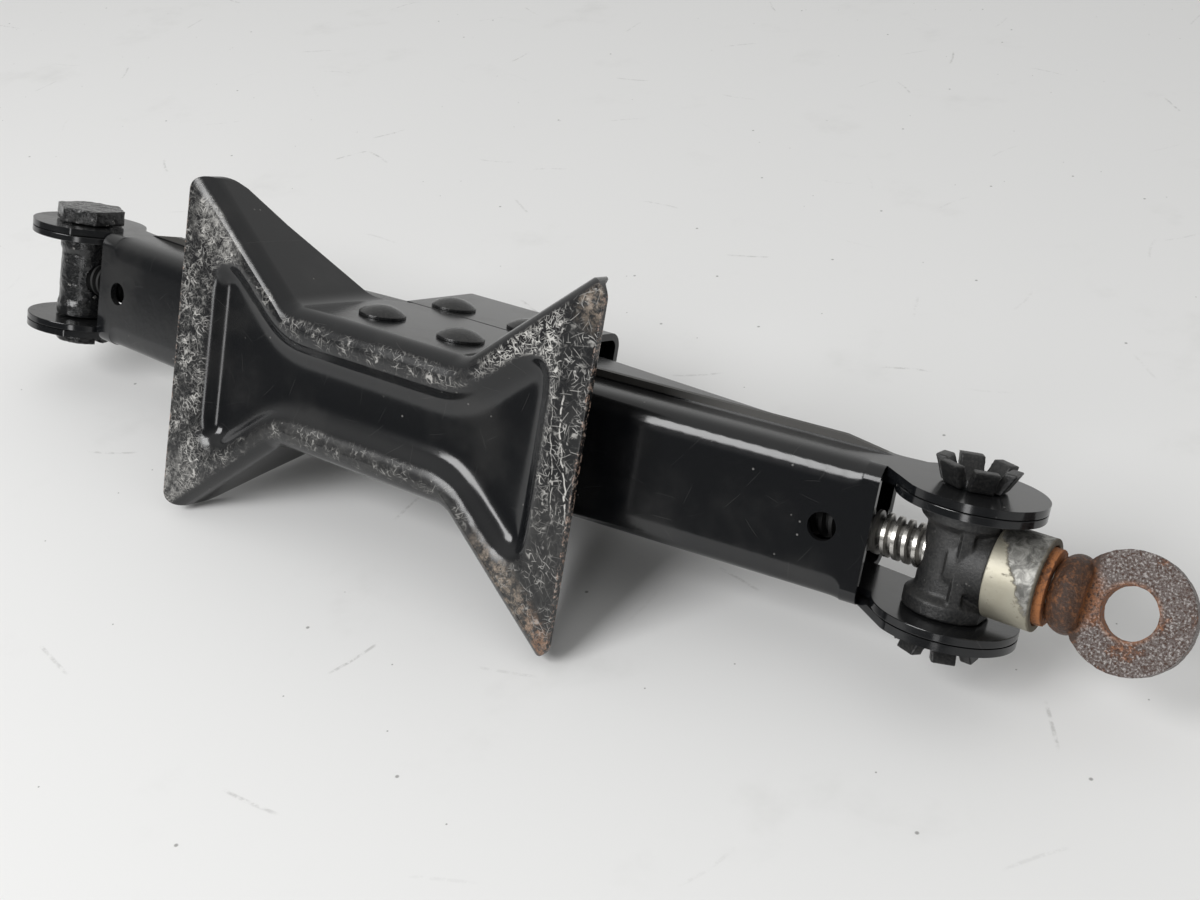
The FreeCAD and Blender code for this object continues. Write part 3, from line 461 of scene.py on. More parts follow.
def base_finish(paint, rust):
    """The base's paint: glossy in the recess, scrubbed by the ground all over the rim."""
    finish = Finish("pressed_base_paint")
    colour, rough, height = paint_coat(finish, paint, 0.35)
    ground = finish.plane(finish.x, finish.y)
    rim = finish.step(finish.z, 1.5 * MM, 0.25 * MM)
    left = finish.step(finish.x, -40 * MM, -58 * MM)
    right = finish.step(finish.x, 61 * MM, 66 * MM)
    lower = finish.step(finish.y, 2 * MM, 14 * MM) * (1 - left)
    upper_right = finish.step(finish.x, 34 * MM, 50 * MM) * (1 - lower) * (1 - right)

    fine = tangle(finish, ground, 3, (2.0, 2.6, 3.2, 3.9, 4.7), 3.6 * MM)
    dense = tangle(finish, ground, 11, (1.5, 1.9, 2.5, 3.3), 2.6 * MM)
    tufts = finish.step(finish.noise(8 * MM, 4.0, 0.62), 0.38, 0.62)
    soil = finish.step(finish.noise(4 * MM, 5.0, 0.7), 0.38, 0.70)
    film = rim * (lower * (0.12 + soil * 0.25) + left * soil * 0.12 + soil * 0.06)
    colour = finish.mix(film, colour, paint.grime)
    light = (0.26 + left * 0.12 + upper_right * 0.70 + (tufts - 0.5) * 0.55 - lower * 0.10).most(0.04)
    thick = left * 0.20 + upper_right * 0.9 + (tufts - 0.4) * 0.35 - lower * 0.15 - right * 0.30
    thick = thick.most(0.0)
    scratched = rim * (fine ** 1.6 * light).most(dense ** 1.8 * thick)
    colour = finish.mix((scratched * 1.3).least(1.0), colour, paint.scratch)

    wander = (finish.noise(9 * MM, 2.0) - 0.5) * (5 * MM)
    lean = finish.x - finish.y * 0.2 - wander
    strand = finish.step(abs(lean - 71.6 * MM), 0.32 * MM, 0.10 * MM)
    strand = strand.most(finish.step(abs(lean - 67.9 * MM), 0.24 * MM, 0.06 * MM) * 0.7)
    beads = finish.step(finish.noise(1.6 * MM, 2.0), 0.36, 0.52)
    run = finish.step(finish.y, -24 * MM, -19 * MM) * finish.step(finish.y, 14 * MM, 9 * MM)
    branches = finish.strokes(ground, 4.2 * MM, 5.5 * MM, 0.16 * MM, 17, 60.0)
    branches = branches * right * (1 - lower * 0.75)
    colour = finish.mix((strand * beads * run).most(branches * 0.6) * rim, colour, paint.scratch)

    inside = (finish.x * 0.854 - abs(finish.y) - 4.24 * MM) * 0.76
    edge_band = finish.step(inside, 13 * MM, 7 * MM) * finish.step(finish.x, 38 * MM, 52 * MM)
    foot = edge_band * finish.step(finish.y, 20 * MM, 30 * MM)
    crown = finish.near((74 * MM, -49 * MM, 0.0), 2 * MM, 11 * MM)
    brow = finish.near((-68 * MM, -42 * MM, 0.0), 3 * MM, 11 * MM)
    brow = brow.most(finish.near((-60 * MM, -36 * MM, 0.0), 2 * MM, 8 * MM))
    heel = finish.near((-72 * MM, 45 * MM, 0.0), 3 * MM, 14 * MM)
    blotch = finish.noise(2.4 * MM, 5.0, 0.7)
    dusty = rim * brow.most(heel * 0.8) * finish.step(blotch, 0.40, 0.66)
    colour = finish.mix(dusty * 0.45, colour, paint.scratch)
    pale = rim * crown * finish.step(blotch, 0.42, 0.62)
    colour = finish.mix(pale * 0.6, colour, paint.bare)
    crumbs = 0.35 + finish.step(finish.noise(0.9 * MM, 3.0, 0.7), 0.40, 0.58) * 0.65
    rusty = rim * foot * finish.step(blotch, 0.40, 0.60) * crumbs
    tip = finish.step(finish.x, 62 * MM, 73 * MM)
    rust_colour = finish.mix(tip * finish.noise(3.5 * MM, 3.0), paint.bare, rust.fresh)
    colour = finish.mix(rusty * 0.72, colour, rust_colour)

    ends = finish.step(finish.x, 74.4 * MM, 75.0 * MM).most(finish.step(finish.x, -78.0 * MM, -78.6 * MM))
    nicks = ends * finish.step(finish.noise(1.3 * MM, 4.0, 0.7), 0.50, 0.62)
    nick_colour = finish.mix(finish.noise(5 * MM, 2.0), paint.scratch, rust.fresh)
    colour = finish.mix(nicks * 0.7, colour, nick_colour)

    rough = rough + (rim * 0.12 + film * 0.40 + rusty * 0.3)
    finish.relief(height + scratched * 3.5, 0.02 * MM)
    return finish.surface(Base_Color=colour, Roughness=rough.least(0.85))


def forged_finish(name, paint, grain, chip_share, dull):
    """Paint over rough forged steel, rubbed grey on its high spots; dull adds to its roughness."""
    finish = Finish(name)
    colour, rough, height = paint_coat(finish, paint)
    pits = finish.noise(grain, 4.0, 0.7)
    chips = finish.step(finish.noise(4.5 * MM, 5.0, 0.7), 1 - chip_share, 1.04 - chip_share)
    colour = finish.mix(finish.step(pits, 0.35, 0.75) * (0.25 + dull), colour, paint.dust)
    colour = finish.mix(chips * 0.45, colour, paint.scratch)
    finish.relief(height + pits * 5.0, 0.03 * MM)
    return finish.surface(Base_Color=colour, Roughness=rough + dull)


def screw_finish():
    """Bright rolled thread with dark greased roots, and painted shade that makes it near black inside the
    arms.
    """
    finish = Finish("bright_thread")
    axis_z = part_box("lift_screw")[0].z + (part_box("lift_screw")[1].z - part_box("lift_screw")[0].z) / 2
    drop = finish.z - axis_z
    radius = (finish.y * finish.y + drop * drop) ** 0.5
    crest = finish.step(radius, 4.6 * MM, 5.7 * MM)
    smear = finish.step(finish.noise(7 * MM, 4.0, 0.65), 0.40, 0.62)
    # Painted shade: the screw is made near black along its length inside the arms, where their channels
    # shade it.
    inside_shade = finish.step(finish.x, 152 * MM, 142 * MM)
    grease_and_shade = ((1 - crest * 0.85) * (0.35 + smear * 0.65)).most(inside_shade)
    colour = finish.mix(grease_and_shade, BRIGHT_STEEL, GREASE)
    colour = finish.mix(inside_shade, colour, GREASE_IN_SHADE)
    height = finish.noise(0.6 * MM, 3.0, 0.6)
    finish.relief(height, 0.02 * MM)
    return finish.surface(Base_Color=colour, Roughness=0.24 + grease_and_shade * 0.4, Metallic=1 - grease_and_shade)


def plated_finish():
    """Yellowed zinc on the cup, peeled to grey steel in patches with ragged borders."""
    finish = Finish("plated_cup")
    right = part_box("thrust_cup")[1].x
    ragged = (finish.noise(6 * MM, 6.0, 0.65) - 0.5) * (11 * MM)
    lean = finish.x - finish.y * 0.62 + ragged
    line = right - 4.5 * MM
    peeled = finish.step(lean, line - 0.3 * MM, line + 0.3 * MM)
    clouds = finish.noise(8 * MM, 4.0, 0.6)
    plate = finish.mix(clouds, ZINC_DARK, ZINC_LIGHT)
    mottle = finish.noise(3.2 * MM, 6.0, 0.68, None, 0.8)
    worn = finish.mix(finish.step(mottle, 0.36, 0.66), PEELED_DARK, PEELED_LIGHT)
    colour = finish.mix(peeled, plate, worn)
    grime = finish.step(finish.noise(2 * MM, 5.0, 0.7), 0.58, 0.72)
    mouth = finish.step(finish.x + ragged * 0.15, right - 1.0 * MM, right - 0.3 * MM)
    border = finish.step(abs(lean - line), 0.9 * MM, 0.2 * MM)
    grime = (grime * 0.7).most(mouth * 0.85).most(border * 0.5)
    colour = finish.mix(grime, colour, CUP_GRIME)
    rough = 0.54 + grime * 0.3
    finish.relief(finish.noise(1.1 * MM, 4.0, 0.6) + peeled * -1.5, 0.03 * MM)
    return finish.surface(Base_Color=colour, Roughness=rough, Metallic=0.85 - grime * 0.7)


def rust_pits(finish):
    """Shared grain of the rusty pieces: coarse pits, blotches and fine grains."""
    pits = finish.noise(1.3 * MM, 6.0, 0.72)
    blotch = finish.noise(6 * MM, 5.0, 0.65)
    grains = finish.noise(0.6 * MM, 2.0, 0.6)
    finish.relief(pits * 3.0 + grains * 2.0, 0.14 * MM)
    return pits, blotch, grains


def washer_finish(rust):
    """Orange rust all over, browner in blotches."""
    finish = Finish("washer_rust")
    pits, blotch, grains = rust_pits(finish)
    brown = finish.step(pits * 0.5 + blotch * 0.5, 0.47, 0.60)
    colour = finish.mix(brown * 0.85, rust.fresh, rust.old)
    colour = finish.mix(finish.step(grains, 0.50, 0.75) * 0.4, colour, rust.old)
    return finish.surface(Base_Color=colour, Roughness=0.75)


def eye_finish(rust):
    """Grey scale on the ring with painted glints as a bright grain, dark brown on the boss, orange round
    the hole.
    """
    finish = Finish("eye_rust")
    low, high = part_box("eye_end")
    ring_radius = 16 * MM
    centre = (high.x - ring_radius, 0.0, (low.z + high.z) / 2)
    pits, blotch, grains = rust_pits(finish)
    ring = finish.step(finish.x, centre[0] - 11 * MM, centre[0] - 8.5 * MM)
    brown = finish.step(blotch, 0.52, 0.68)
    skin = finish.mix(brown * 0.75, rust.scale, rust.old)
    # Painted glints: light grains sprinkled over the ring's scale.
    skin = finish.mix(finish.step(grains, 0.54, 0.64) * 0.7, skin, RING_GLINTS)
    skin = finish.mix(finish.step(grains, 0.47, 0.37) * 0.9, skin, rust.old)
    boss = finish.mix(finish.step(pits, 0.48, 0.68) * 0.40, BOSS_BROWN, rust.fresh)
    colour = finish.mix(ring, boss, skin)
    hole = finish.near(centre, 7.0 * MM, 9.3 * MM)
    neck = finish.near((centre[0] - 14.5 * MM, 0.0, centre[2]), 6 * MM, 11 * MM)
    orange = hole.most(neck * 0.8).most(finish.step(blotch, 0.60, 0.70) * 0.7)
    orange = orange * finish.step(pits * 0.6 + grains * 0.4, 0.38, 0.56)
    colour = finish.mix(orange, colour, rust.fresh)
    rough = 0.48 + orange * 0.32
    return finish.surface(Base_Color=colour, Roughness=rough, Metallic=ring * (1 - orange) * 0.35)


def alone(piece):
    """Selects one piece and nothing else."""
    bpy.ops.object.select_all(action="DESELECT")
    piece.select_set(True)
    bpy.context.view_layer.objects.active = piece


def edit_all():
    """Opens the active piece with everything in it selected."""
    bpy.ops.object.mode_set(mode="EDIT")
    bpy.ops.mesh.select_all(action="SELECT")


def object_mode():
    """Closes the active piece again."""
    bpy.ops.object.mode_set(mode="OBJECT")


def welded(node):
    """A copy of a solid with its loose triangles joined and its flat faces made whole."""
    mesh = frame["nodes"][node].data.copy()
    mesh.materials.clear()
    piece = bpy.data.objects.new(node + "_dressed", mesh)
    bpy.context.scene.collection.objects.link(piece)
    alone(piece)
    bpy.ops.mesh.customdata_custom_splitnormals_clear()
    edit_all()
    bpy.ops.mesh.remove_doubles(threshold=WELD)
    bpy.ops.mesh.dissolve_limited(angle_limit=FLAT_ANGLE)
    object_mode()
    return piece


def apply_all(piece):
    """Makes a piece's modifiers part of its shape, in their order."""
    alone(piece)
    for modifier in list(piece.modifiers):
        bpy.ops.object.modifier_apply(modifier=modifier.name)


def flat_shaded(piece):
    """Keeps the flat faces flat in shading beside the bends."""
    alone(piece)
    bpy.ops.mesh.customdata_custom_splitnormals_clear()
    bpy.ops.object.shade_smooth_by_angle(angle=SHARP_ANGLE)
    weighted = piece.modifiers.new("flats", "WEIGHTED_NORMAL")
    weighted.keep_sharp = True
    apply_all(piece)
    return piece


def edged(piece, width):
    """Rounds a pressed piece's sharp edges."""
    alone(piece)
    bpy.ops.object.shade_smooth_by_angle(angle=SHARP_ANGLE)
    bevel = piece.modifiers.new("edge", "BEVEL")
    bevel.width = width
    bevel.segments = EDGE_SEGMENTS
    bevel.limit_method = "ANGLE"
    bevel.angle_limit = SHARP_ANGLE
    apply_all(piece)
    return piece


def eased(piece, width):
    """Rounds a piece's edges and keeps its faces flat."""
    return flat_shaded(edged(piece, width))


def skinned(piece, voxel, rounds):
    """Adds modifiers for an even skin with softened edges."""
    remesh = piece.modifiers.new("skin", "REMESH")
    remesh.mode = "VOXEL"
    remesh.voxel_size = voxel
    soften = piece.modifiers.new("soften", "SMOOTH")
    soften.factor = 0.5
    soften.iterations = rounds


def hammered(piece, voxel, dent_size, dent_depth, rounds=4):
    """Turns a copy into a forged skin: even small faces, softened edges and shallow dents."""
    skinned(piece, voxel, rounds)
    texture = bpy.data.textures.new(piece.name + "_dents", "CLOUDS")
    texture.noise_scale = dent_size
    texture.noise_depth = 2
    dents = piece.modifiers.new("dents", "DISPLACE")
    dents.texture = texture
    dents.texture_coords = "LOCAL"
    dents.mid_level = 1.0
    dents.strength = dent_depth
    apply_all(piece)
    bpy.ops.object.shade_smooth()
    return piece


def softened(piece, voxel, inside, rounds, outward):
    """Gives a pressed copy an even skin, smoothed inside a region and flat on its face."""
    level = max(vertex.co.dot(outward) for vertex in piece.data.vertices)
    skinned(piece, voxel, SKIN_ROUNDS)
    apply_all(piece)
    bpy.ops.object.shade_smooth()
    edit_all()
    bpy.ops.mesh.select_mode(type="VERT")
    bpy.ops.mesh.select_all(action="DESELECT")
    object_mode()
    for vertex in piece.data.vertices:
        vertex.select = inside(vertex.co)
    bpy.ops.object.mode_set(mode="EDIT")
    bpy.ops.mesh.vertices_smooth(factor=0.5, repeat=rounds)
    object_mode()
    for vertex in piece.data.vertices:
        gap = level - vertex.co.dot(outward)
        pull = min(1.0, max(0.0, (FLAT_FAR - gap) / (FLAT_FAR - FLAT_NEAR)))
        vertex.co += outward * gap * pull
    return piece


def prism(corners, depth):
    """A solid block: a flat outline of corners drawn out by depth."""
    bpy.ops.object.select_all(action="DESELECT")
    bpy.ops.mesh.primitive_circle_add(vertices=len(corners), radius=MM, fill_type="NGON")
    block = bpy.context.active_object
    bpy.ops.object.transform_apply(location=True, rotation=True, scale=True)
    for vertex, corner in zip(block.data.vertices, corners):
        vertex.co = corner
    edit_all()
    bpy.ops.mesh.extrude_region_move(TRANSFORM_OT_translate={"value": depth})
    bpy.ops.mesh.select_all(action="SELECT")
    bpy.ops.mesh.normals_make_consistent(inside=False)
    object_mode()
    return block


def carved(piece, block, operation):
    """Cuts a piece with a block, or joins the two."""
    cut = piece.modifiers.new("carve", "BOOLEAN")
    cut.operation = operation
    cut.solver = "EXACT"
    cut.object = block
    apply_all(piece)
    return piece


def pressed(node, edge, voxel, block_of, inside, rounds, outward, added=()):
    """A crisp copy of a pressed solid that is softly drawn within a block; block_of takes a margin."""
    block = block_of(0.0)
    margin = block_of(CUT_MARGIN)
    crisp = welded(node)
    edit_all()
    bpy.ops.mesh.remove_doubles(threshold=SHORT_EDGE)
    object_mode()
    for lip in added:
        carved(crisp, lip, "UNION")
    carved(edged(crisp, edge), block, "DIFFERENCE")
    soft = carved(welded(node), margin, "INTERSECT")
    soft = carved(softened(soft, voxel, inside, rounds, outward), block, "INTERSECT")
    for used in (*added, block, margin):
        bpy.data.objects.remove(used)
    alone(crisp)
    soft.select_set(True)
    bpy.ops.object.join()
    return flat_shaded(crisp)


def settle(piece, node, material):
    """Gives a piece its finish and its body, and hides the solid that it stands for."""
    piece.data.materials.clear()
    piece.data.materials.append(material)
    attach(piece, frame["nodes"][node]["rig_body"])
    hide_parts(node)


class JACK_OT_base_plate(bpy.types.Operator):
    """Pressed base with its soft recess and scrubbed rim"""

    bl_idname = "jack.base_plate"
    bl_label = "Base Plate"

    def execute(self, context):
        shape = context.scene.jack_recess
        low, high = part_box("base_plate")
        middle = (low.x + high.x) / 2

        def in_recess(point):
            along = abs(point.x - middle)
            reach = shape.waist + max(0.0, along - shape.straight) * math.tan(shape.slope)
            return along < shape.length and abs(point.y) < reach and point.z < shape.height

        def block(margin):
            waist = shape.waist + margin
            length = shape.length + margin
            end = waist + (length - shape.straight) * math.tan(shape.slope)
            quarter = ((length, end), (shape.straight, waist))
            upper = [(middle + x, y, -MM) for x, y in quarter]
            upper += [(middle - x, y, -MM) for x, y in reversed(quarter)]
            lower = [(x, -y, z) for x, y, z in reversed(upper)]
            return prism(upper + lower, (0, 0, shape.height + MM + margin))

        down = Vector((0, 0, -1))
        piece = pressed("base_plate", BASE_EDGE, BASE_VOXEL, block, in_recess, shape.rounds, down)
        material = base_finish(context.scene.jack_paint, context.scene.jack_rust)
        settle(piece, "base_plate", material)
        return {"FINISHED"}


class JACK_OT_arms(bpy.types.Operator):
    """Lower and upper arms; the lower ones have broad soft bends beside their webs"""

    bl_idname = "jack.arms"
    bl_label = "Arms"

    def execute(self, context):
        upper_paint = sheet_finish("upper_arm_paint", context.scene.jack_paint)
        beyond = context.scene.jack_bend.wall + 0.1 * MM
        lower_paint = sheet_finish("lower_arm_paint", context.scene.jack_paint, beyond)
        for side in SIDES:
            node = f"upper_arm_{side}"
            settle(eased(welded(node), SHEET_EDGE), node, upper_paint)
            settle(self.lower_arm(context, side), f"lower_arm_{side}", lower_paint)
        return {"FINISHED"}

    def lower_arm(self, context, side):
        """One lower arm: soft bends beside its web, and lips run on towards the base."""
        shape = context.scene.jack_bend
        node = f"lower_arm_{side}"
        way = 1 if side == "right" else -1
        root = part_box(f"base_rivet_{side}")
        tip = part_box("thrust_trunnion" if side == "right" else "nut_trunnion")
        start = (root[0] + root[1]) / 2
        reach = (tip[0] + tip[1]) / 2 - start
        reach.y = 0
        reach.x = way * ARM_REACH
        along = reach.normalized()
        out = Vector((along.z, 0, -along.x)) * way

        def in_bend(point):
            place = point - start
            run = place.dot(along)
            drop = place.dot(out)
            return shape.first < run < shape.last and drop > shape.top and abs(point.y) > shape.flat

        def block(margin):
            runs = (shape.first - margin, shape.last + margin)
            drops = (shape.top - margin, shape.bottom)
            places = ((runs[0], drops[0]), (runs[1], drops[0]), (runs[1], drops[1]), (runs[0], drops[1]))
            corners = [start + along * run + out * drop for run, drop in places]
            seam = shape.flat - SEAM_INSET - margin / 4
            halves = []
            for hand in (-1, 1):
                outline = [(corner.x, hand * seam, corner.z) for corner in corners]
                halves.append(prism(outline, (0, hand * shape.across, 0)))
            alone(halves[0])
            halves[1].select_set(True)
            bpy.ops.object.join()
            return halves[0]

        root_y = shape.wall - LIP_ROOT
        plan = (
            (shape.lip_first, root_y), (shape.lip_first, shape.wall), (shape.lip_full, shape.lip_edge),
            (shape.lip_last, shape.lip_edge), (shape.lip_last, root_y),
        )
        lips = []
        for hand in (-1, 1):
            outline = []
            for run, across in plan:
                corner = start + along * run - out * shape.lip_rise
                outline.append((corner.x, hand * across, corner.z))
            lips.append(prism(outline, -out * shape.lip_thickness))
        return pressed(node, SHEET_EDGE, ARM_VOXEL, block, in_bend, shape.rounds, out, added=lips)


class JACK_OT_saddle(bpy.types.Operator):
    """Saddle at the top of the lift"""

    bl_idname = "jack.saddle"
    bl_label = "Saddle"

    def execute(self, context):
        material = sheet_finish("saddle_paint", context.scene.jack_paint)
        settle(eased(welded("saddle"), SHEET_EDGE), "saddle", material)
        return {"FINISHED"}


class JACK_OT_rivets(bpy.types.Operator):
    """Pivot rivets and the washers beside the upper arms"""

    bl_idname = "jack.rivets"
    bl_label = "Rivets"

    def execute(self, context):
        material = forged_finish(
            "rivet_paint", context.scene.jack_paint, grain=1.2 * MM, chip_share=0.28, dull=0.0)
        nodes = [f"{place}_rivet_{side}" for place in ("base", "saddle") for side in SIDES]
        nodes += [f"saddle_spacer_{side}_{face}" for side in SIDES for face in ("front", "back")]
        for node in nodes:
            settle(eased(welded(node), RIVET_EDGE), node, material)
        return {"FINISHED"}


class JACK_OT_nut_trunnion(bpy.types.Operator):
    """Left trunnion, which is the nut, with its hammered head and staked end"""

    bl_idname = "jack.nut_trunnion"
    bl_label = "Nut Trunnion"

    def execute(self, context):
        material = forged_finish(
            "nut_paint", context.scene.jack_paint, grain=1.4 * MM, chip_share=0.36, dull=0.0)
        piece = hammered(
            welded("nut_trunnion"), voxel=0.4 * MM, dent_size=2.6 * MM, dent_depth=0.45 * MM)
        settle(piece, "nut_trunnion", material)
        return {"FINISHED"}


class JACK_OT_thrust_trunnion(bpy.types.Operator):
    """Right trunnion with its crowns of bent petals"""

    bl_idname = "jack.thrust_trunnion"
    bl_label = "Thrust Trunnion"

    def execute(self, context):
        material = forged_finish(
            "thrust_paint", context.scene.jack_paint, grain=0.7 * MM, chip_share=0.33, dull=0.24)
        piece = hammered(
            welded("thrust_trunnion"), voxel=0.4 * MM, dent_size=3.0 * MM, dent_depth=0.05 * MM)
        settle(piece, "thrust_trunnion", material)
        return {"FINISHED"}


class JACK_OT_lift_screw(bpy.types.Operator):
    """Lifting screw with its trapezoidal thread"""

    bl_idname = "jack.lift_screw"
    bl_label = "Lift Screw"

    def execute(self, context):
        thread = context.scene.jack_thread
        low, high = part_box("lift_screw")
        axis_z = (low.z + high.z) / 2
        crest_radius = (high.z - low.z) / 2
        root_radius = crest_radius - thread.depth
        run = thread.depth * math.tan(thread.flank)
        root_flat = thread.pitch - thread.crest - 2 * run
        bpy.ops.object.select_all(action="DESELECT")
        bpy.ops.mesh.primitive_plane_add(size=MM, location=(0, 0, 0))
        piece = context.active_object
        piece.name = "lift_screw_dressed"
        edit_all()
        bpy.ops.mesh.merge(type="CENTER")
        bpy.ops.transform.translate(value=(0, 0, root_radius))
        for ahead, rise in ((root_flat, 0), (run, thread.depth), (thread.crest, 0), (run, -thread.depth)):
            bpy.ops.mesh.extrude_vertices_move(TRANSFORM_OT_translate={"value": (ahead, 0, rise)})
        object_mode()
        screw = piece.modifiers.new("thread", "SCREW")
        screw.axis = "X"
        screw.steps = thread.steps
        screw.render_steps = thread.steps
        screw.screw_offset = thread.pitch
        screw.iterations = math.ceil((thread.end - low.x) / thread.pitch) + 3
        apply_all(piece)
        edit_all()
        bpy.ops.mesh.remove_doubles(threshold=WELD)
        bpy.ops.transform.translate(value=(low.x - 1.5 * thread.pitch, 0, axis_z))
        for place, side in ((low.x, -1), (thread.end, 1)):
            bpy.ops.mesh.select_all(action="SELECT")
            bpy.ops.mesh.bisect(plane_co=(place, 0, axis_z), plane_no=(side, 0, 0),
                                use_fill=True, clear_outer=True)
        bpy.ops.mesh.select_all(action="SELECT")
        bpy.ops.mesh.normals_make_consistent(inside=False)
        object_mode()
        shank = self.shank(thread.end - SHANK_LAP, high.x, crest_radius, axis_z)
        alone(piece)
        shank.select_set(True)
        bpy.ops.object.join()
        bpy.ops.object.shade_smooth_by_angle(angle=SHARP_ANGLE)
        settle(piece, "lift_screw", screw_finish())
        return {"FINISHED"}

    def shank(self, start, end, radius, axis_z):
        """The plain round end of the screw, which carries the cup and the eye."""
        bpy.ops.object.select_all(action="DESELECT")
        bpy.ops.mesh.primitive_cylinder_add(
            vertices=SHANK_SIDES, radius=radius, depth=end - start,
            location=((start + end) / 2, 0, axis_z), rotation=(0, math.pi / 2, 0))
        shank = bpy.context.active_object
        bpy.ops.object.transform_apply(location=True, rotation=True, scale=True)
        bevel = shank.modifiers.new("edge", "BEVEL")
        bevel.width = SHANK_EDGE
        bevel.segments = EDGE_SEGMENTS
        apply_all(shank)
        return shank


class JACK_OT_thrust_stack(bpy.types.Operator):
    """Plated cup, thrust ring and rusty washer"""

    bl_idname = "jack.thrust_stack"
    bl_label = "Thrust Stack"

    def execute(self, context):
        plated = plated_finish()
        rusty = washer_finish(context.scene.jack_rust)
        settle(eased(welded("thrust_cup"), CUP_EDGE), "thrust_cup", plated)
        settle(eased(welded("thrust_race"), SHEET_EDGE), "thrust_race", rusty)
        washer = hammered(
            welded("thrust_washer"), voxel=0.35 * MM, dent_size=2.4 * MM, dent_depth=0.25 * MM, rounds=3)
        settle(washer, "thrust_washer", rusty)
        return {"FINISHED"}


class JACK_OT_eye_end(bpy.types.Operator):
    """Eye end: boss, neck and pitted ring"""

    bl_idname = "jack.eye_end"
    bl_label = "Eye End"

    def execute(self, context):
        material = eye_finish(context.scene.jack_rust)
        piece = hammered(
            welded("eye_end"), voxel=0.3 * MM, dent_size=2.2 * MM, dent_depth=0.35 * MM, rounds=5)
        settle(piece, "eye_end", material)
        return {"FINISHED"}


def floor_finish(stage):
    """Pale board with small dark specks and smudges, clear from behind."""
    finish = Finish("pale_floor")
    ground = finish.plane(finish.x, finish.y)
    smudge = finish.step(finish.noise(55 * MM, 5.0, 0.62), 0.56, 0.80)
    specks = finish.specks(ground, 31 * MM, 0.16, 0.024, True)
    specks = specks.most(finish.specks(ground, 17 * MM, 0.10, 0.022, True))
    marks = finish.strokes(ground, 62 * MM, 20 * MM, 0.8 * MM, 4, 25.0)
    marks = marks * finish.step(finish.noise(3 * MM, 4.0, 0.7), 0.40, 0.60)
    colour = finish.mix(smudge * 0.30, stage.floor, FLOOR_SMUDGE)
    colour = finish.mix(specks * 0.65, colour, FLOOR_SPECK)
    colour = finish.mix(marks * 0.40, colour, FLOOR_MARK)
    finish.surface(Base_Color=colour, Roughness=0.6)
    behind = finish.node("ShaderNodeNewGeometry", output="Backfacing")
    clear = finish.node("ShaderNodeBsdfTransparent")
    seen = finish.node("ShaderNodeMixShader", None,
                       {0: behind, 1: Wire(finish, finish.shader), 2: clear})
    finish.feed(finish.tree.nodes["Material Output"].inputs["Surface"], seen)
    return finish.material


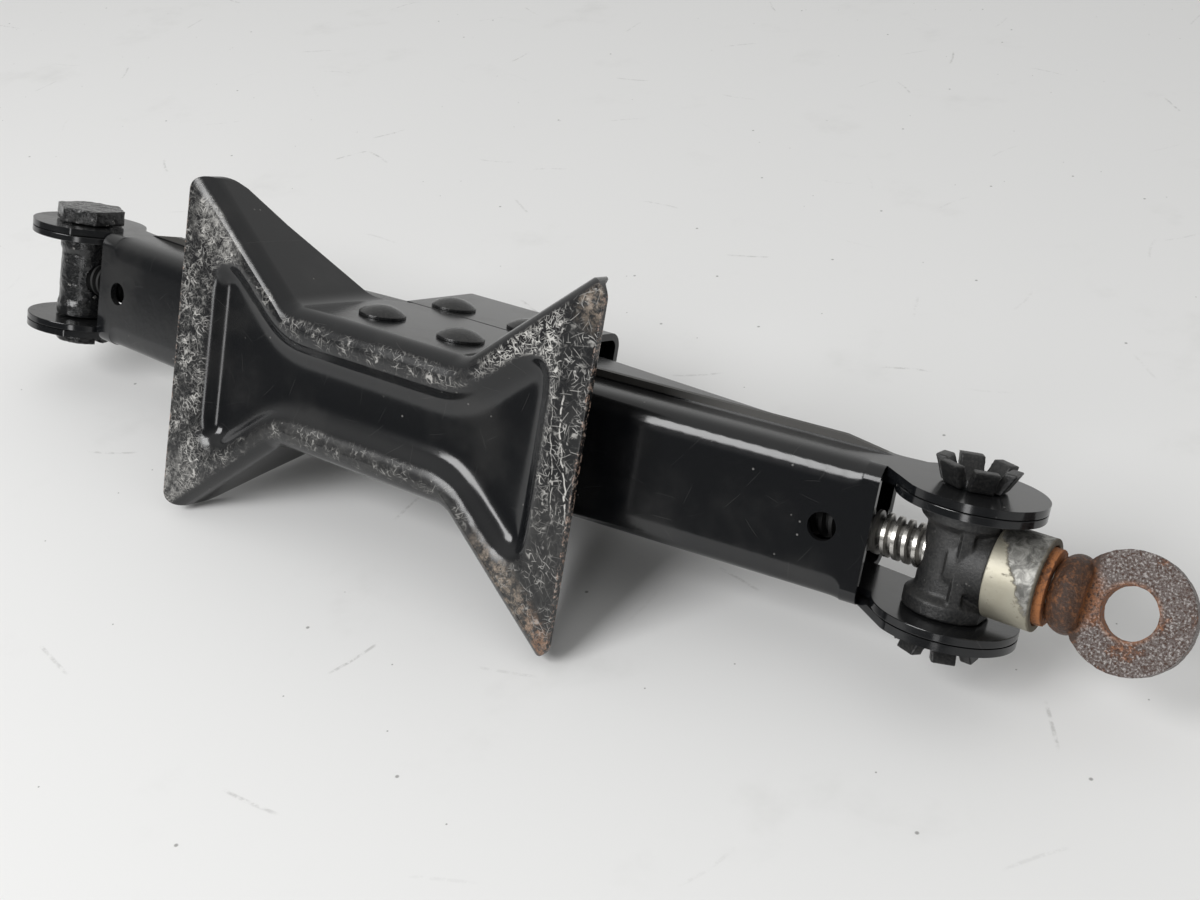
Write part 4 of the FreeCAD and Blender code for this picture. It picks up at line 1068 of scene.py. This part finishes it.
class JACK_OT_stage(bpy.types.Operator):
    """Floor, soft lamp, sky and camera"""

    bl_idname = "jack.stage"
    bl_label = "Stage"

    def execute(self, context):
        stage = context.scene.jack_stage
        context.scene.view_settings.view_transform = "Standard"
        tilt = stage.floor_tilt
        up = Vector((0, -math.cos(tilt), -math.sin(tilt)))
        foot = -up * stage.floor_drop
        bpy.ops.object.select_all(action="DESELECT")
        bpy.ops.mesh.primitive_plane_add(size=FLOOR_SIDE, location=foot)
        floor = context.active_object
        floor.name = "floor"
        floor.rotation_mode = "QUATERNION"
        floor.rotation_quaternion = up.to_track_quat("Z", "Y")
        floor.data.materials.append(floor_finish(stage))
        # The saddle's edge lies on the floor, so the floor keeps to it as the jack rises.
        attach(floor, "saddle")
        self.camera(context, stage)
        sides = (stage.lamp_width, stage.lamp_depth)
        self.lamp(context, "soft_lamp", stage.lamp, sides, stage.lamp_reach, stage.lamp_aim, up)
        self.lamp(context, "fill_lamp", stage.fill, FILL_SIDES, stage.lamp_reach, stage.fill_aim, up)
        self.sky(context, stage, up)
        return {"FINISHED"}

    def camera(self, context, stage):
        """The camera, where the photograph was taken from."""
        data = bpy.data.cameras.new("camera")
        data.lens = stage.lens
        data.sensor_width = SENSOR_WIDTH
        data.clip_start = 0.01
        camera = bpy.data.objects.new("camera", data)
        camera.location = stage.eye
        camera.rotation_euler = Euler(stage.turn)
        context.scene.collection.objects.link(camera)
        context.scene.camera = camera

    def lamp(self, context, name, power, size, reach, way, up):
        """A rectangular lamp that faces the jack from a way given as right, up and front."""
        data = bpy.data.lights.new(name, "AREA")
        data.energy = power
        data.shape = "RECTANGLE"
        data.size, data.size_y = size
        lamp = bpy.data.objects.new(name, data)
        right = Vector((1, 0, 0))
        aim = (right * way[0] + up * way[1] + right.cross(up) * way[2]).normalized()
        side = (right - aim * right.dot(aim)).normalized()
        lamp.location = aim * reach
        lamp.rotation_mode = "QUATERNION"
        lamp.rotation_quaternion = Matrix((side, aim.cross(side), aim)).transposed().to_quaternion()
        context.scene.collection.objects.link(lamp)

    def sky(self, context, stage, up):
        """Bright above and behind the jack, dark behind the camera."""
        world = bpy.data.worlds.new("sky")
        world.use_nodes = True
        tree = world.node_tree
        bright_side = up * 0.75 - Vector((1, 0, 0)).cross(up) * 0.65
        darkest, brightest = -0.30, 0.70
        place = tree.nodes.new("ShaderNodeTexCoord")
        lean = tree.nodes.new("ShaderNodeVectorMath")
        lean.operation = "DOT_PRODUCT"
        lean.inputs[1].default_value = bright_side
        level = tree.nodes.new("ShaderNodeMapRange")
        level.interpolation_type = "SMOOTHSTEP"
        level.inputs["From Min"].default_value = darkest
        level.inputs["From Max"].default_value = brightest
        level.inputs["To Min"].default_value = stage.sky_dark
        level.inputs["To Max"].default_value = stage.sky_bright
        back = tree.nodes["Background"]
        back.inputs["Color"].default_value = SKY_WHITE
        tree.links.new(place.outputs["Generated"], lean.inputs[0])
        tree.links.new(lean.outputs["Value"], level.inputs["Value"])
        tree.links.new(level.outputs[0], back.inputs["Strength"])
        context.scene.world = world


GROUPS = {
    "jack_paint": JackPaint, "jack_rust": JackRust, "jack_recess": JackRecess, "jack_bend": JackBend,
    "jack_thread": JackThread, "jack_stage": JackStage,
}
OPERATORS = (
    JACK_OT_base_plate, JACK_OT_arms, JACK_OT_saddle, JACK_OT_rivets, JACK_OT_nut_trunnion,
    JACK_OT_thrust_trunnion, JACK_OT_lift_screw, JACK_OT_thrust_stack, JACK_OT_eye_end, JACK_OT_stage,
)


class JACK_PT_sidebar(bpy.types.Panel):
    """Lists the jack's operators and values"""

    bl_label = "Scissor Jack"
    bl_idname = "JACK_PT_sidebar"
    bl_space_type = "VIEW_3D"
    bl_region_type = "UI"
    bl_category = "Jack"

    def draw(self, context):
        for operator in OPERATORS:
            self.layout.operator(operator.bl_idname)
        for name, group in GROUPS.items():
            box = self.layout.box()
            box.label(text=group.__doc__)
            for key in group.__annotations__:
                box.prop(getattr(context.scene, name), key)


def register():
    for group in GROUPS.values():
        bpy.utils.register_class(group)
    for name, group in GROUPS.items():
        setattr(bpy.types.Scene, name, bpy.props.PointerProperty(type=group))
    for shown in (*OPERATORS, JACK_PT_sidebar):
        bpy.utils.register_class(shown)


def unregister():
    for shown in (JACK_PT_sidebar, *reversed(OPERATORS)):
        bpy.utils.unregister_class(shown)
    for name in GROUPS:
        delattr(bpy.types.Scene, name)
    for group in reversed(list(GROUPS.values())):
        bpy.utils.unregister_class(group)


def main():
    register()
    bpy.ops.jack.base_plate()
    bpy.ops.jack.arms()
    bpy.ops.jack.saddle()
    bpy.ops.jack.rivets()
    bpy.ops.jack.nut_trunnion()
    bpy.ops.jack.thrust_trunnion()
    bpy.ops.jack.lift_screw()
    bpy.ops.jack.thrust_stack()
    bpy.ops.jack.eye_end()
    bpy.ops.jack.stage()


if __name__ == "__main__":
    main()
